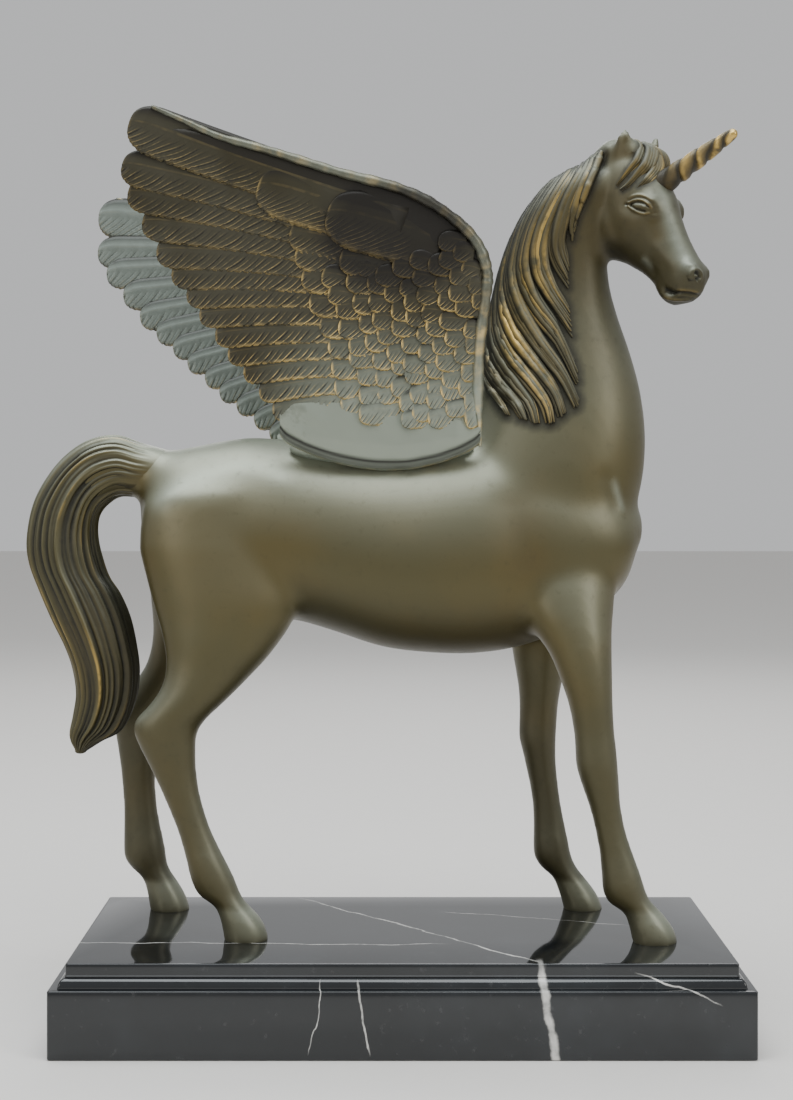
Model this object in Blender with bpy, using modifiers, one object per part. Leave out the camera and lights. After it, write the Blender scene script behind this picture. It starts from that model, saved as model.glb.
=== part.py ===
"""Winged, horned horse in cast bronze on a stepped black marble base.

The horse is one casting. The two wings and the horn are castings of their own, seated in pockets of the
horse, and a stud with a washer and a nut holds each hoof to the marble.
+X is where the horse faces, +Y its left side, +Z up. The origin is the middle of the marble's underside.
Sizes are in millimetres and become metres when a mesh is made. The horse's rows are in its own frame, with
the soles at z = 0 and its middle plane at y = 0.
"""

import math

import bmesh
import bpy
import numpy as np
from mathutils import Matrix, Vector
from mathutils.bvhtree import BVHTree

MM = 0.001

# Marble base
BASE_LENGTH = 330.0
BASE_DEPTH = 152.0
SLAB_HEIGHT = 32.0
LEDGE = 4.0
COVE_WIDTH = 3.3
COVE_HEIGHT = 4.5
BAND_HEIGHT = 6.5
EDGE_ROUND = 0.6
BAND_FOOT = 0.5
BASE_TOP = SLAB_HEIGHT + COVE_HEIGHT + BAND_HEIGHT

# Gap between one piece and the next
SEAT_GAP = 0.3

# Fixing under each hoof
STUD_DIAMETER = 5.0
STUD_IN_HOOF = 11.0
NUT_ACROSS_FLATS = 8.0
NUT_HEIGHT = 4.0
WASHER_DIAMETER = 12.0
WASHER_THICKNESS = 1.2
COUNTERBORE_DIAMETER = 16.0
COUNTERBORE_DEPTH = 12.0
STUD_BELOW_NUT = 2.0

# Middles of the hooves' soles, from the middle of the marble and of the horse
HOOVES = {
    "front_right": (124.0, -35.0),
    "front_left": (96.5, 35.6),
    "hind_right": (-76.5, -29.5),
    "hind_left": (-121.5, 34.0),
}

# The horse's middle plane stands this far to the left of the marble's
HORSE_Y = 8.0

# Head: the poll, how far the head turns to the horse's right, and how far it is bowed
POLL = (119.3, -16.0, 388.0)
HEAD_TURN = 40.0
HEAD_BOW = 54.0

# Horn, on the forehead's middle line
HORN_LENGTH = 45.5
HORN_BASE_RADIUS = 5.2
HORN_TIP_RADIUS = 2.5
HORN_SEAT = 5.0
HORN_TURNS = 1.3
# How far the spiral ridge stands out, as a share of the radius, and how late the horn tapers
HORN_RIDGE = 0.12
HORN_TAPER = 1.6
# Where the horn's seat lies in the forehead, and the way it points: down the face and out of it
HORN_SEAT_AT = (20.0, 1.0, 0.0)
HORN_WAY = (0.16, 1.0)

# Wings: where the root's middle sits on the horse, and how each wing leans out and sweeps back
WING_ROOT = (-10.0, 24.0, 231.0)
WING_LEAN = 12.5
RIGHT_WING_SWEEP = 0.0
LEFT_WING_SWEEP = 12.0
ROOT_THICKNESS = 11.0
ARM_THICKNESS = 6.4
EDGE_RADIUS = 3.6
EDGE_TIP_SHARE = 0.42
FEATHER_THICKNESS = 3.4
COVERT_THICKNESS = 9.4
FEATHER_TILT = 5.0
FEATHER_BEND = 2.5

# Fineness of the cast surfaces
HORSE_VOXEL = 1.7
HORSE_TRIANGLES = 3950
TRUNK_SMOOTHING = 35
LEGS_SMOOTHING = 7

# Rows of the lofts: x and z of the upper or rear outline point, x and z of the lower or front one,
# half width, and y of both points
TORSO = [
    (-129, 231, -131, 196, 13, 0, 0),
    (-120, 240, -122, 170, 26, 0, 0),
    (-103, 243.5, -104, 159, 34, 0, 0),
    (-80, 247.5, -78, 157, 37.5, 0, 0),
    (-57, 246.5, -54, 154.5, 37, 0, 0),
    (-34, 243.5, -33, 148.5, 38.5, 0, 0),
    (-12, 242, -10, 141, 40.5, 0, 0),
    (12, 243, 13, 138, 41.5, 0, 0),
    (36, 247, 37, 137.5, 41, 0, 0),
    (60, 250, 60, 141, 38.5, 0, 0),
    (82, 245, 84, 150, 36, 0, 0),
    (102, 234, 103, 162, 31, 0, 0),
    (114, 221, 114, 174, 24, 0, 0),
    (120, 211, 119, 189, 14, 0, 0),
]
NECK = [
    (20, 236, 106, 190, 32, 0, 0),
    (33, 252, 120, 214, 32, 0, 0),
    (41, 269, 124.5, 242, 29, 0, 0),
    (43, 286, 122.5, 268, 25, 0, 0),
    (45, 303, 117, 290, 21.5, 0, 0),
    (48, 320, 110.5, 309, 18.5, 0, -1),
    (53, 339, 106, 326, 16, -1, -3),
    (62, 359, 105, 342, 14, -4, -5),
    (77, 377, 107, 354, 12.5, -8, -8),
    (95, 387, 112, 362, 11, -12, -11),
]
NEAR_HIND_LEG = [
    (-129, 215, -60, 222, 19, -17, -17),
    (-131, 192, -51, 188, 21, -19, -18),
    (-124, 166, -52, 161, 20, -22, -21),
    (-119, 150, -63, 142, 17, -25, -24),
    (-116.5, 137, -76, 127.5, 14, -27, -26),
    (-118, 125, -86, 117.5, 12, -28.5, -28),
    (-124, 115.5, -93, 111, 10.8, -29, -29),
    (-131.5, 107.5, -98.5, 105, 10, -29, -29),
    (-132.3, 101.5, -101, 99, 9.6, -29, -29),
    (-129, 93.5, -101.2, 92, 9, -29, -29),
    (-124.2, 84, -101, 83, 8, -29, -29),
    (-118.5, 72, -99.5, 72, 7.2, -29, -29),
    (-114.2, 62, -97, 62.5, 6.9, -29, -29),
    (-110.8, 53.5, -94.2, 54, 6.9, -29, -29),
    (-108.3, 45.5, -90.6, 46, 7.3, -29, -29),
    (-106, 37, -86.6, 38, 8.4, -29, -29),
    (-103.8, 28, -82.3, 29.5, 8.6, -29, -29),
    (-100, 21, -78.6, 20.5, 7.9, -29.2, -29.2),
    (-92.5, 16, -74, 15, 7.7, -29.4, -29.4),
    (-90.2, 11.5, -69.3, 9.8, 8.9, -29.5, -29.5),
    (-88.4, 5, -66.4, 4.2, 9.6, -29.5, -29.5),
    (-87.4, -3, -64.9, -3, 9.8, -29.5, -29.5),
]
FAR_HIND_LEG = [
    (-131, 212, -66, 214, 19, 16, 16),
    (-132.5, 188, -60, 180, 21, 18, 18),
    (-130, 163, -70, 152, 19, 21, 21),
    (-129.5, 146, -84, 136, 15.5, 25, 24),
    (-133, 131, -98, 121.5, 12.5, 29, 28),
    (-140.5, 119, -109, 110, 11, 31.5, 31),
    (-149, 108, -119, 101, 10.5, 33, 33),
    (-150.8, 98, -124.5, 94, 10, 33.5, 33.5),
    (-149.8, 88, -127, 85, 9, 34, 34),
    (-148.2, 77, -128.8, 75, 7.9, 34, 34),
    (-147, 65, -129.1, 64, 7, 34, 34),
    (-146.3, 54, -128.3, 54, 6.9, 34, 34),
    (-146.3, 44, -126.7, 44, 7.3, 34, 34),
    (-146.3, 34, -124.5, 34, 8.4, 34, 34),
    (-145.9, 27, -123.5, 27, 8.6, 34, 34),
    (-142, 21.5, -122, 20.5, 7.9, 34, 34),
    (-136.6, 16.6, -118.5, 15.5, 7.7, 34, 34),
    (-134.2, 10.5, -114.8, 9.5, 8.9, 34, 34),
    (-133, 4.4, -112.2, 4, 9.6, 34, 34),
    (-132, -3, -110.4, -3, 9.8, 34, 34),
]
NEAR_FRONT_LEG = [
    (50, 200, 104, 196, 12, -14, -10),
    (53, 184, 108, 180, 16, -19, -16),
    (57, 169, 106, 166, 16.5, -23, -21),
    (64, 154, 104.4, 153, 15, -28, -26),
    (72.5, 141, 103.7, 143, 13.2, -31, -30),
    (78.2, 127, 103.6, 128, 12, -33, -32.5),
    (81.8, 116, 103.7, 116, 10.8, -34, -34),
    (84.3, 103, 104.4, 103, 9.6, -34.6, -34.6),
    (85, 93, 105.4, 93.5, 9.6, -35, -35),
    (85.5, 85.5, 106.2, 85, 9.9, -35, -35),
    (88, 77, 106.7, 76.5, 8.8, -35, -35),
    (90.6, 69.5, 107.2, 69.5, 7.6, -35, -35),
    (93.2, 61, 108.5, 60.5, 6.8, -35, -35),
    (95.2, 52, 110.6, 51.5, 6.7, -35, -35),
    (97, 42, 113.9, 42, 7.1, -35, -35),
    (97.8, 32.5, 117.3, 32.5, 8.3, -35, -35),
    (98.3, 25, 119.5, 25.5, 8.5, -35, -35),
    (101, 19, 122, 19.8, 7.9, -35, -35),
    (108.5, 14, 127.6, 14, 7.7, -35, -35),
    (110.8, 9, 131.6, 9, 8.9, -35, -35),
    (112.2, 3.6, 134.6, 3.6, 9.6, -35, -35),
    (113.4, -3, 135.4, -3, 9.8, -35, -35),
]
FAR_FRONT_LEG = [
    (48, 200, 102, 196, 12, 14, 10),
    (50, 184, 104, 180, 16, 19, 16),
    (52.5, 169, 102, 166, 17, 24, 22),
    (55.5, 153, 95.5, 153, 15, 28, 26),
    (58, 140, 90, 141, 13.2, 31, 30),
    (60.2, 127.5, 87, 128, 12, 33, 32.5),
    (61.9, 117.5, 85, 117.5, 10.8, 34, 34),
    (62.8, 107, 83.4, 107, 9.7, 35, 35),
    (62.6, 97, 82.7, 97, 9.6, 35.4, 35.4),
    (62.6, 89.5, 82.3, 89, 9.9, 35.6, 35.6),
    (64.6, 81.5, 82.2, 81, 8.8, 35.6, 35.6),
    (66.4, 73, 82.7, 72.5, 7.6, 35.6, 35.6),
    (68.3, 64, 83.7, 63.5, 6.9, 35.6, 35.6),
    (69.6, 54.5, 85.1, 54, 6.7, 35.6, 35.6),
    (70.1, 44, 87, 44, 7.1, 35.6, 35.6),
    (70, 34.5, 89, 34.5, 8.3, 35.6, 35.6),
    (70.5, 27, 90.4, 27.3, 8.5, 35.6, 35.6),
    (74.5, 21, 93, 21.5, 7.9, 35.6, 35.6),
    (80.4, 16, 97.7, 15.5, 7.7, 35.6, 35.6),
    (83, 9.5, 102, 10, 8.9, 35.6, 35.6),
    (85, 4, 105.3, 4.3, 9.6, 35.6, 35.6),
    (86.4, -3, 107.6, -3, 9.8, 35.6, 35.6),
]
TAIL = [
    (-106, 238, -116, 216, 11, 0, 0),
    (-120, 241.5, -126, 217.5, 13, 0, 0),
    (-132, 244.6, -135, 217.3, 13.5, 0, 0),
    (-144, 248.3, -143, 217.6, 14, 0, 0),
    (-157, 246.3, -149, 214.5, 14, 0, 0),
    (-168, 240, -153.3, 209.5, 14, 0, 0),
    (-178, 229.5, -155, 203, 14, 0, 0),
    (-186.5, 214.5, -154.8, 195, 14, 0, 0),
    (-190, 197, -153, 186.5, 14.5, 0, 0),
    (-189, 184, -149.7, 177, 14.5, 0, 0),
    (-184, 170, -144, 168, 14.5, 0, 0),
    (-177.4, 154.6, -138.8, 156, 14.3, 0, 0),
    (-171, 141.5, -135.4, 141.5, 13.8, 0, 0),
    (-166.8, 130, -133.8, 128, 13, 0, 0),
    (-164.8, 117, -135.8, 113, 12, 0, 0),
    (-166.3, 105.5, -142.5, 99, 10, 0, 0),
    (-168.2, 95, -152.5, 93, 7, 0, 0),
    (-166, 88.5, -160, 88, 3, 0, 0),
]
# Rows of the head in its own frame: how far down the face from the poll, height of the face line and of
# the jaw line above the line from poll to nose, and half width
HEAD = [
    (-8, 0, -29, 9),
    (-2, 4, -35, 12),
    (4, 5.5, -41, 14),
    (10, 5, -46, 15),
    (17, 4.5, -50, 15.3),
    (24, 4, -48, 15.3),
    (31, 2.5, -43.7, 14.3),
    (37, 0.3, -39, 12.5),
    (43.5, -1.5, -35.5, 11),
    (50.5, -3, -32.5, 9.6),
    (58, -4, -31, 8.8),
    (64.5, -4.5, -31, 8.8),
    (70, -5.5, -30.5, 8.6),
    (74, -8, -27.5, 7),
    (76.5, -11, -23.5, 4),
]
# Fleshy masses of the head: centre and radii, down the face, out of the face, and sideways
HEAD_MASSES = [
    (29, -5.5, 12, 9, 7, 5.2),
    (17, -33, 10, 15, 15, 6.5),
    (67.5, -11, 6, 6, 6, 2.8),
    (65, -27, 0, 9, 4.5, 6.6),
]
# Ears, right and left: base and tip
EARS = [
    ((1.0, -9.0, -8.0), (-10.5, 5.2, -9.5)),
    ((3.0, -8.0, 12.0), (-7.9, 7.2, 14.5)),
]
EAR_WIDTH = 4.9
EAR_FLATNESS = 0.6
# The way an ear's hollow faces: out of the face and sideways
EAR_FACES = (0.6, 0.8)
EYE = (28.5, -9.0, 14.8)
EYE_RADII = (4.4, 3.2, 2.4)

# Muscles: centre and radii; those with a positive y stand on both sides
MUSCLES = [
    (-98, 0, 208, 28, 28, 28),
    (84, 13, 196, 24, 20, 30),
    (60, 17, 205, 24, 17, 34),
    (-80, 19, 192, 34, 17, 36),
]

# Locks of the mane on the near side of the neck: x and z along each, from the crest down to the tip
MANE_LOCKS = [
    [(106, 393), (96, 384), (86, 368), (79, 352), (78, 340), (84, 328)],
    [(101, 393), (88, 380), (77, 364), (70, 348), (69, 332), (75, 318), (84, 305)],
    [(94, 391), (80, 377), (69, 361), (63, 346), (61, 330), (67, 314), (77, 300), (87, 277)],
    [(86, 387), (72, 371), (62, 355), (57, 340), (55, 325), (60, 308), (70, 291), (80, 277), (87, 263)],
    [(77, 381), (64, 363), (55, 345), (52, 329), (51, 312), (56, 297), (66, 283), (75, 270), (79, 258)],
    [(68, 372), (57, 352), (51, 333), (49, 315), (50, 299), (56, 286), (65, 274), (72, 263), (74, 254)],
    [(60, 358), (52, 339), (48, 320), (46, 303), (48, 288), (55, 275), (63, 264), (66, 254)],
    [(51, 332), (47, 313), (44, 296), (44.5, 284), (50, 273), (57, 264), (61, 256)],
    [(46, 305), (43, 290), (42, 279), (45, 269), (51, 259)],
]
MANE_LOCK_RADIUS = 4.4
# Locks on the tail's two sides: x and z along each, from the root to the tip
TAIL_LOCKS = [
    [(-130, 236), (-150, 240), (-168, 230), (-180, 210), (-183, 190), (-176, 165), (-168, 142), (-164, 118), (-163, 98)],
    [(-132, 229), (-150, 232), (-163, 221), (-171, 203), (-172, 185), (-165, 162), (-157, 138), (-154, 116), (-155, 100)],
    [(-136, 222), (-150, 223), (-159, 210), (-162, 193), (-158, 172), (-149, 150), (-144, 130), (-145, 112)],
]
TAIL_LOCK_RADIUS = 5.0
# Forelock, in the head's frame: down the face, out of it, sideways
FORELOCKS = [
    [(-3, 4, 1), (2.5, 7, 0), (10, 4, -6), (13, -1.8, -10), (15, -7.7, -13.3), (14.7, -12, -15)],
    [(-6, 3, -1), (-1, 4.6, -1), (5.8, 1.8, -7.5), (9, -4.5, -12), (11.5, -12.4, -15)],
    [(-2, 6, 3), (3.5, 7, 2), (12.3, 5, -1), (17.7, 0.5, -9), (19, -5, -11.5)],
    [(-3, 5, 3), (4, 8, 5), (11, 6.5, 6), (16, 4, 6.5)],
]
FORELOCK_RADIUS = 3.8
LOCK_FLATNESS = 0.7
MANE_LIFT = 0.3
TAIL_LOCK_LIFT = -1.4

# Wing seen from outside in its own plane: x forward and height above the root's lower edge
LEADING_EDGE = [
    (38, 12), (36.5, 36), (37, 62), (40, 88), (40.2, 99), (34.5, 113), (19.3, 126.7), (-1, 137),
    (-31, 145), (-61.5, 154.5), (-86.7, 161.4), (-104, 169), (-119, 175.5), (-125, 178),
]
# Long feathers: x and height of the quill's root, of its tip, and the blade's width
LONG_FEATHERS = [
    (2, 117, -130, 169, 24),
    (0, 112, -134, 149, 19),
    (-2, 107, -131.5, 136, 18),
    (-4, 102, -125, 122, 18),
    (-6, 97, -118.5, 108, 17),
    (-8, 91, -111.5, 97, 16),
    (-8, 84, -104.5, 87, 15),
    (-8, 76, -98.5, 77, 14),
    (-8, 68, -91, 67, 14),
    (-8, 60, -85, 57.5, 13.5),
    (-8, 52, -77.5, 48.5, 13.5),
    (-8, 44, -70, 39, 13.5),
    (-8, 36, -63.5, 29.5, 13.5),
]
# Share of the full width along a long feather and along a covert, from root to tip
LONG_FEATHER_FORM = [(0, 0.8), (0.45, 1.0), (0.86, 1.0), (0.96, 0.8), (1.0, 0.45)]
COVERT_FORM = [(0, 0.6), (0.7, 1.0), (1.0, 0.45)]
# Covert feathers in rows: top, middle and bottom of the line of their tips, count, length and width
COVERT_ROWS = [
    (((-66, 144), (-46, 92), (-31, 26)), 7, 38, 19),
    (((-33, 130), (-23, 82), (-10, 24)), 6, 30, 19),
    (((-2, 116), (4, 68), (10, 24)), 5, 26, 20),
]
# The directions in which the uppermost and the lowest covert of a row point, in degrees from forward
COVERT_FAN = (156, 188)
# Root pad along its length: x, height of its lower edge, and of its upper edge under the feathers
ROOT_PAD = [
    (-60, 17, 31),
    (-56, 13, 33),
    (-45, 8, 34),
    (-32, 3.6, 34),
    (-16, 0.4, 34),
    (0, 0, 34),
    (16, 2.8, 34),
    (28, 7, 34),
    (36, 11, 33),
    (39, 14, 31),
]
# How much thinner the root is along its top than along its bottom, and how it thins towards its two ends
ROOT_EGG = 0.4
ROOT_END_SHARE = 0.45
ROOT_END_RUN = 12.0
# Arm and palm under the feathers: x and height of its rear point and of its point on the leading edge
WING_ARM = [
    (-54, 16, 37, 13),
    (-42, 42, 35.5, 46),
    (-36, 80, 39, 88),
    (-38, 96, 39, 100),
    (-42, 108, 33.5, 112),
    (-48, 118, 19, 125.5),
    (-58, 129, -1, 136),
    (-71, 141, -31, 144),
    (-86, 151, -62, 153.5),
    (-112, 166, -100, 166),
]
# Muscle that joins the wing to the back: centre and radii in the wing's frame, forward, outward and up
WING_BOSS = (-10.0, -8.0, 9.0, 40.0, 9.0, 8.0)


def clear_scene():
    for thing in list(bpy.data.objects):
        bpy.data.objects.remove(thing, do_unlink=True)


def collection(name):
    made = bpy.data.collections.new(name)
    bpy.context.scene.collection.children.link(made)
    return made


def material(name, color, roughness, metallic):
    made = bpy.data.materials.new(name)
    made.use_nodes = True
    shader = made.node_tree.nodes["Principled BSDF"]
    shader.inputs["Base Color"].default_value = (*color, 1.0)
    shader.inputs["Roughness"].default_value = roughness
    shader.inputs["Metallic"].default_value = metallic
    return made


def as_object(name, bm, group, finish=None):
    """An object in the group with the mesh's millimetres turned into metres."""
    bm.normal_update()
    bmesh.ops.recalc_face_normals(bm, faces=bm.faces)
    bm.transform(Matrix.Scale(MM, 4))
    mesh = bpy.data.meshes.new(name)
    bm.to_mesh(mesh)
    bm.free()
    made = bpy.data.objects.new(name, mesh)
    if finish:
        mesh.materials.append(finish)
    group.objects.link(made)
    return made


def as_cutter(thing):
    thing.hide_render = True
    thing.display_type = "WIRE"
    return thing


def freeze(thing):
    """Replaces the mesh by what its modifiers make of it."""
    bpy.context.view_layer.update()
    graph = bpy.context.evaluated_depsgraph_get()
    mesh = bpy.data.meshes.new_from_object(thing.evaluated_get(graph), depsgraph=graph)
    thing.modifiers.clear()
    thing.data = mesh
    return thing


def boolean(thing, other, operation):
    cut = thing.modifiers.new(f"{operation.lower()} {other.name}", "BOOLEAN")
    cut.operation = operation
    cut.solver = "EXACT"
    cut.object = other
    return cut


def drop(things):
    for thing in things:
        bpy.data.objects.remove(thing, do_unlink=True)


def through(rows, steps):
    """Catmull-Rom curve through the rows, with this many steps to each span."""
    rows = np.array(rows, float)
    padded = np.vstack([2 * rows[0] - rows[1], rows, 2 * rows[-1] - rows[-2]])
    out = []
    for a, b, c, d in zip(padded, padded[1:], padded[2:], padded[3:]):
        for t in np.arange(steps) / steps:
            out.append(
                0.5 * (2 * b + (c - a) * t + (2 * a - 5 * b + 4 * c - d) * t**2 + (3 * b - a - 3 * c + d) * t**3)
            )
    out.append(rows[-1])
    return np.array(out)


def unit(vectors):
    vectors = np.asarray(vectors, float)
    return vectors / np.maximum(np.linalg.norm(vectors, axis=-1, keepdims=True), 1e-9)


def skin(bm, rings):
    """Closed skin over rings of as many points each, with a face on both ends."""
    loops = [[bm.verts.new(point) for point in ring] for ring in rings]
    for one, two in zip(loops, loops[1:]):
        for i in range(len(one)):
            j = (i + 1) % len(one)
            bm.faces.new((one[i], one[j], two[j], two[i]))
    bm.faces.new(list(reversed(loops[0])))
    bm.faces.new(loops[-1])


def rounded_ends(rings, round_first, round_last):
    """Adds shrinking rings before the first and after the last, so that an end is a dome."""
    rings = list(rings)
    for first, bulge in ((True, round_first), (False, round_last)):
        if not bulge:
            continue
        edge, inner = (rings[0], rings[1]) if first else (rings[-1], rings[-2])
        middle = edge.mean(axis=0)
        outward = unit(middle - inner.mean(axis=0))
        for angle in (30, 55, 75):
            turn = math.radians(angle)
            ring = middle + (edge - middle) * math.cos(turn) + outward * bulge * math.sin(turn)
            if first:
                rings.insert(0, ring)
            else:
                rings.append(ring)
    return rings


def ovals(rows, around, egg):
    """Rings from rows of two outline points and a half width; egg above 0 widens the first point's side."""
    first = rows[:, [0, 5, 1]]
    second = rows[:, [2, 6, 3]]
    middle = (first + second) / 2
    up = (first - second) / 2
    along = unit(np.gradient(middle, axis=0))
    side = unit(np.cross(along, up))
    turns = 2 * math.pi * np.arange(around) / around
    return [
        m + u * np.cos(turns)[:, None] + s * (w * np.sin(turns) * (1 + egg * np.cos(turns)))[:, None]
        for m, u, s, w in zip(middle, up, side, rows[:, 4])
    ]


def loft(bm, rows, around=32, steps=4, egg=0.0, round_first=0.0, round_last=0.0):
    rings = ovals(through(rows, steps), around, egg)
    skin(bm, rounded_ends(rings, round_first, round_last))


def ball(bm, middle, radii, axes=None, segments=32):
    """An ellipsoid; its radii lie along the axes given, or along x, y and z."""
    turn = Matrix(np.array(axes if axes is not None else np.eye(3)).T.tolist()).to_4x4()
    place = Matrix.Translation(Vector(middle)) @ turn @ Matrix.Diagonal((*radii, 1.0))
    bmesh.ops.create_uvsphere(bm, u_segments=segments, v_segments=segments // 2, radius=1.0, matrix=place)


def strand(bm, path, radii, side=(0.0, 1.0, 0.0), flat=1.0, around=10):
    """A tapering lock along a path; flat under 1 thins it in the side direction."""
    path = np.asarray(path, float)
    along = unit(np.gradient(path, axis=0))
    thin = unit(np.broadcast_to(side, path.shape) - along * (along @ np.array(side))[:, None])
    wide = np.cross(along, thin)
    turns = 2 * math.pi * np.arange(around) / around
    rings = [
        p + (w * np.cos(turns)[:, None] + t * np.sin(turns)[:, None] * flat) * r
        for p, w, t, r in zip(path, wide, thin, radii)
    ]
    skin(bm, rounded_ends(rings, radii[0] * 0.7, radii[-1] * 0.7))


def taper(count, most, start=0.45, end=0.2):
    """Radii of a lock: it swells from its start, stays full, and runs out to a fine tip."""
    t = np.linspace(0, 1, count)
    return most * np.minimum(np.minimum(start + 3 * t, 1), end + 2.2 * (1 - t))


# Head frame in the horse's frame: down the face, out of the face, and towards the horse's left
TURN = math.radians(HEAD_TURN)
BOW = math.radians(HEAD_BOW)
DOWN_FACE = np.array([math.cos(TURN) * math.cos(BOW), -math.sin(TURN) * math.cos(BOW), -math.sin(BOW)])
OUT_OF_FACE = np.array([math.cos(TURN) * math.sin(BOW), -math.sin(TURN) * math.sin(BOW), math.cos(BOW)])
TO_LEFT = np.array([math.sin(TURN), math.cos(TURN), 0.0])
HEAD_AXES = np.array([DOWN_FACE, OUT_OF_FACE, TO_LEFT])


def on_head(points):
    return np.array(POLL) + np.asarray(points, float) @ HEAD_AXES


def head(bm):
    rings = []
    for down, face, jaw, half in through(HEAD, 4):
        turns = 2 * math.pi * np.arange(32) / 32
        out = (face + jaw) / 2 + (face - jaw) / 2 * np.cos(turns)
        side = half * np.sin(turns) * (1 + 0.12 * np.cos(turns))
        rings.append(on_head(np.column_stack([np.full(32, down), out, side])))
    skin(bm, rounded_ends(rings, 4, 2))
    for down, out, side, *radii in HEAD_MASSES:
        for way in (-1, 1) if side else (0,):
            ball(bm, on_head((down, out, side * way)), radii, HEAD_AXES)
    for base, tip in EARS:
        way = math.copysign(1.0, base[2])
        t = np.linspace(-0.25, 1, 9)[:, None]
        path = on_head(np.array(base) + (np.array(tip) - base) * t)
        radii = EAR_WIDTH * np.interp(t[:, 0], (-0.25, 0.3, 0.8, 1), (0.8, 1, 0.82, 0.4))
        faces = EAR_FACES[0] * OUT_OF_FACE + EAR_FACES[1] * way * TO_LEFT
        strand(bm, path, radii, side=faces, flat=EAR_FLATNESS, around=16)
        ball(bm, on_head(np.array(EYE) * (1, 1, way)), EYE_RADII, HEAD_AXES)


LEGS = (NEAR_HIND_LEG, FAR_HIND_LEG, NEAR_FRONT_LEG, FAR_FRONT_LEG)
LEG_ROWS_IN_TRUNK = 5
TAIL_ROWS_IN_TRUNK = 6


def trunk(bm):
    """Body, neck, and the roots of the legs and of the tail."""
    loft(bm, TORSO, around=40, egg=-0.08, round_first=3, round_last=4)
    loft(bm, NECK, around=36, egg=-0.12, round_first=4, round_last=6)
    for leg in LEGS:
        loft(bm, leg[:LEG_ROWS_IN_TRUNK], around=28, round_first=6, round_last=6)
    loft(bm, TAIL[:TAIL_ROWS_IN_TRUNK], around=28, round_first=4, round_last=6)
    for x, y, z, *radii in MUSCLES:
        for way in (-1, 1) if y else (0,):
            ball(bm, (x, y * way, z), radii)


def limbs(bm):
    for leg in LEGS:
        loft(bm, leg[1:], around=28)
    loft(bm, TAIL, around=28, round_first=4, round_last=2)
    head(bm)


def remesh(thing, voxel, smoothing):
    cells = thing.modifiers.new("cast in one", "REMESH")
    cells.mode = "VOXEL"
    cells.voxel_size = voxel * MM
    soft = thing.modifiers.new("soften", "SMOOTH")
    soft.factor = 0.5
    soft.iterations = smoothing
    return freeze(thing)


def fewer_faces(thing, triangles):
    thing.data.calc_loop_triangles()
    thin = thing.modifiers.new("fewer faces", "DECIMATE")
    thin.ratio = min(1.0, triangles / len(thing.data.loop_triangles))
    return freeze(thing)


def laid_on(tree, path, way, lift):
    """Points of a side-view path laid on the surface seen from the side that way points to."""
    out = []
    last = None
    for x, z in path:
        hit = tree.ray_cast(Vector((x, 200 * way, z)) * MM, Vector((0, -way, 0)))[0]
        y = hit.y / MM if hit is not None and hit.y * way > -0.01 else last
        last = y if y is not None else 0.0
        out.append((x, last + lift * way, z))
    return np.array(out)


def hair(bm, tree):
    for lock in MANE_LOCKS:
        path = through(laid_on(tree, lock, -1, MANE_LIFT), 4)
        strand(bm, path, taper(len(path), MANE_LOCK_RADIUS), flat=LOCK_FLATNESS)
    for way in (-1, 1):
        for lock in TAIL_LOCKS:
            path = through(laid_on(tree, lock, way, TAIL_LOCK_LIFT), 4)
            strand(bm, path, taper(len(path), TAIL_LOCK_RADIUS), flat=LOCK_FLATNESS)
    for lock in FORELOCKS:
        path = through(on_head(lock), 4)
        strand(bm, path, taper(len(path), FORELOCK_RADIUS), side=OUT_OF_FACE, flat=LOCK_FLATNESS)


def grown(name, core, form, cutters, smoothing):
    """The core, which goes, and the form's shapes cast together into one skin."""
    bm = bmesh.new()
    form(bm)
    if core:
        bm.transform(Matrix.Scale(MM, 4))
        bm.from_mesh(core.data)
        bm.transform(Matrix.Scale(1 / MM, 4))
        drop([core])
    return remesh(as_object(name, bm, cutters), HORSE_VOXEL, smoothing)


def build_horse(parts, cutters, bronze):
    core = grown("trunk", None, trunk, cutters, TRUNK_SMOOTHING)
    body = grown("body", core, limbs, cutters, LEGS_SMOOTHING)
    tree = BVHTree.FromObject(body, bpy.context.evaluated_depsgraph_get())
    horse = grown("horse", body, lambda bm: hair(bm, tree), parts, 2)
    horse.data.materials.clear()
    horse.data.materials.append(bronze)
    fewer_faces(horse, HORSE_TRIANGLES)
    lift = Matrix.Translation(Vector((0, HORSE_Y, BASE_TOP + SEAT_GAP)) * MM)
    horse.data.transform(lift)
    return horse


def blade(bm, path, half_widths, half_thicknesses, face=(0.0, 1.0, 0.0), tilt=0.0, around=4):
    """A feather along a path: flat, thickest along its shaft, and tilted about it."""
    path = np.asarray(path, float)
    along = unit(np.gradient(path, axis=0))
    across = unit(np.cross(along, face))
    normal = np.cross(across, along)
    turn = math.radians(tilt)
    wide = across * math.cos(turn) + normal * math.sin(turn)
    thick = np.cross(wide, along)
    turns = 2 * math.pi * np.arange(around) / around
    skin(bm, [
        p + w * np.cos(turns)[:, None] * a + t * np.sin(turns)[:, None] * b
        for p, w, t, a, b in zip(path, wide, thick, half_widths, half_thicknesses)
    ])


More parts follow.
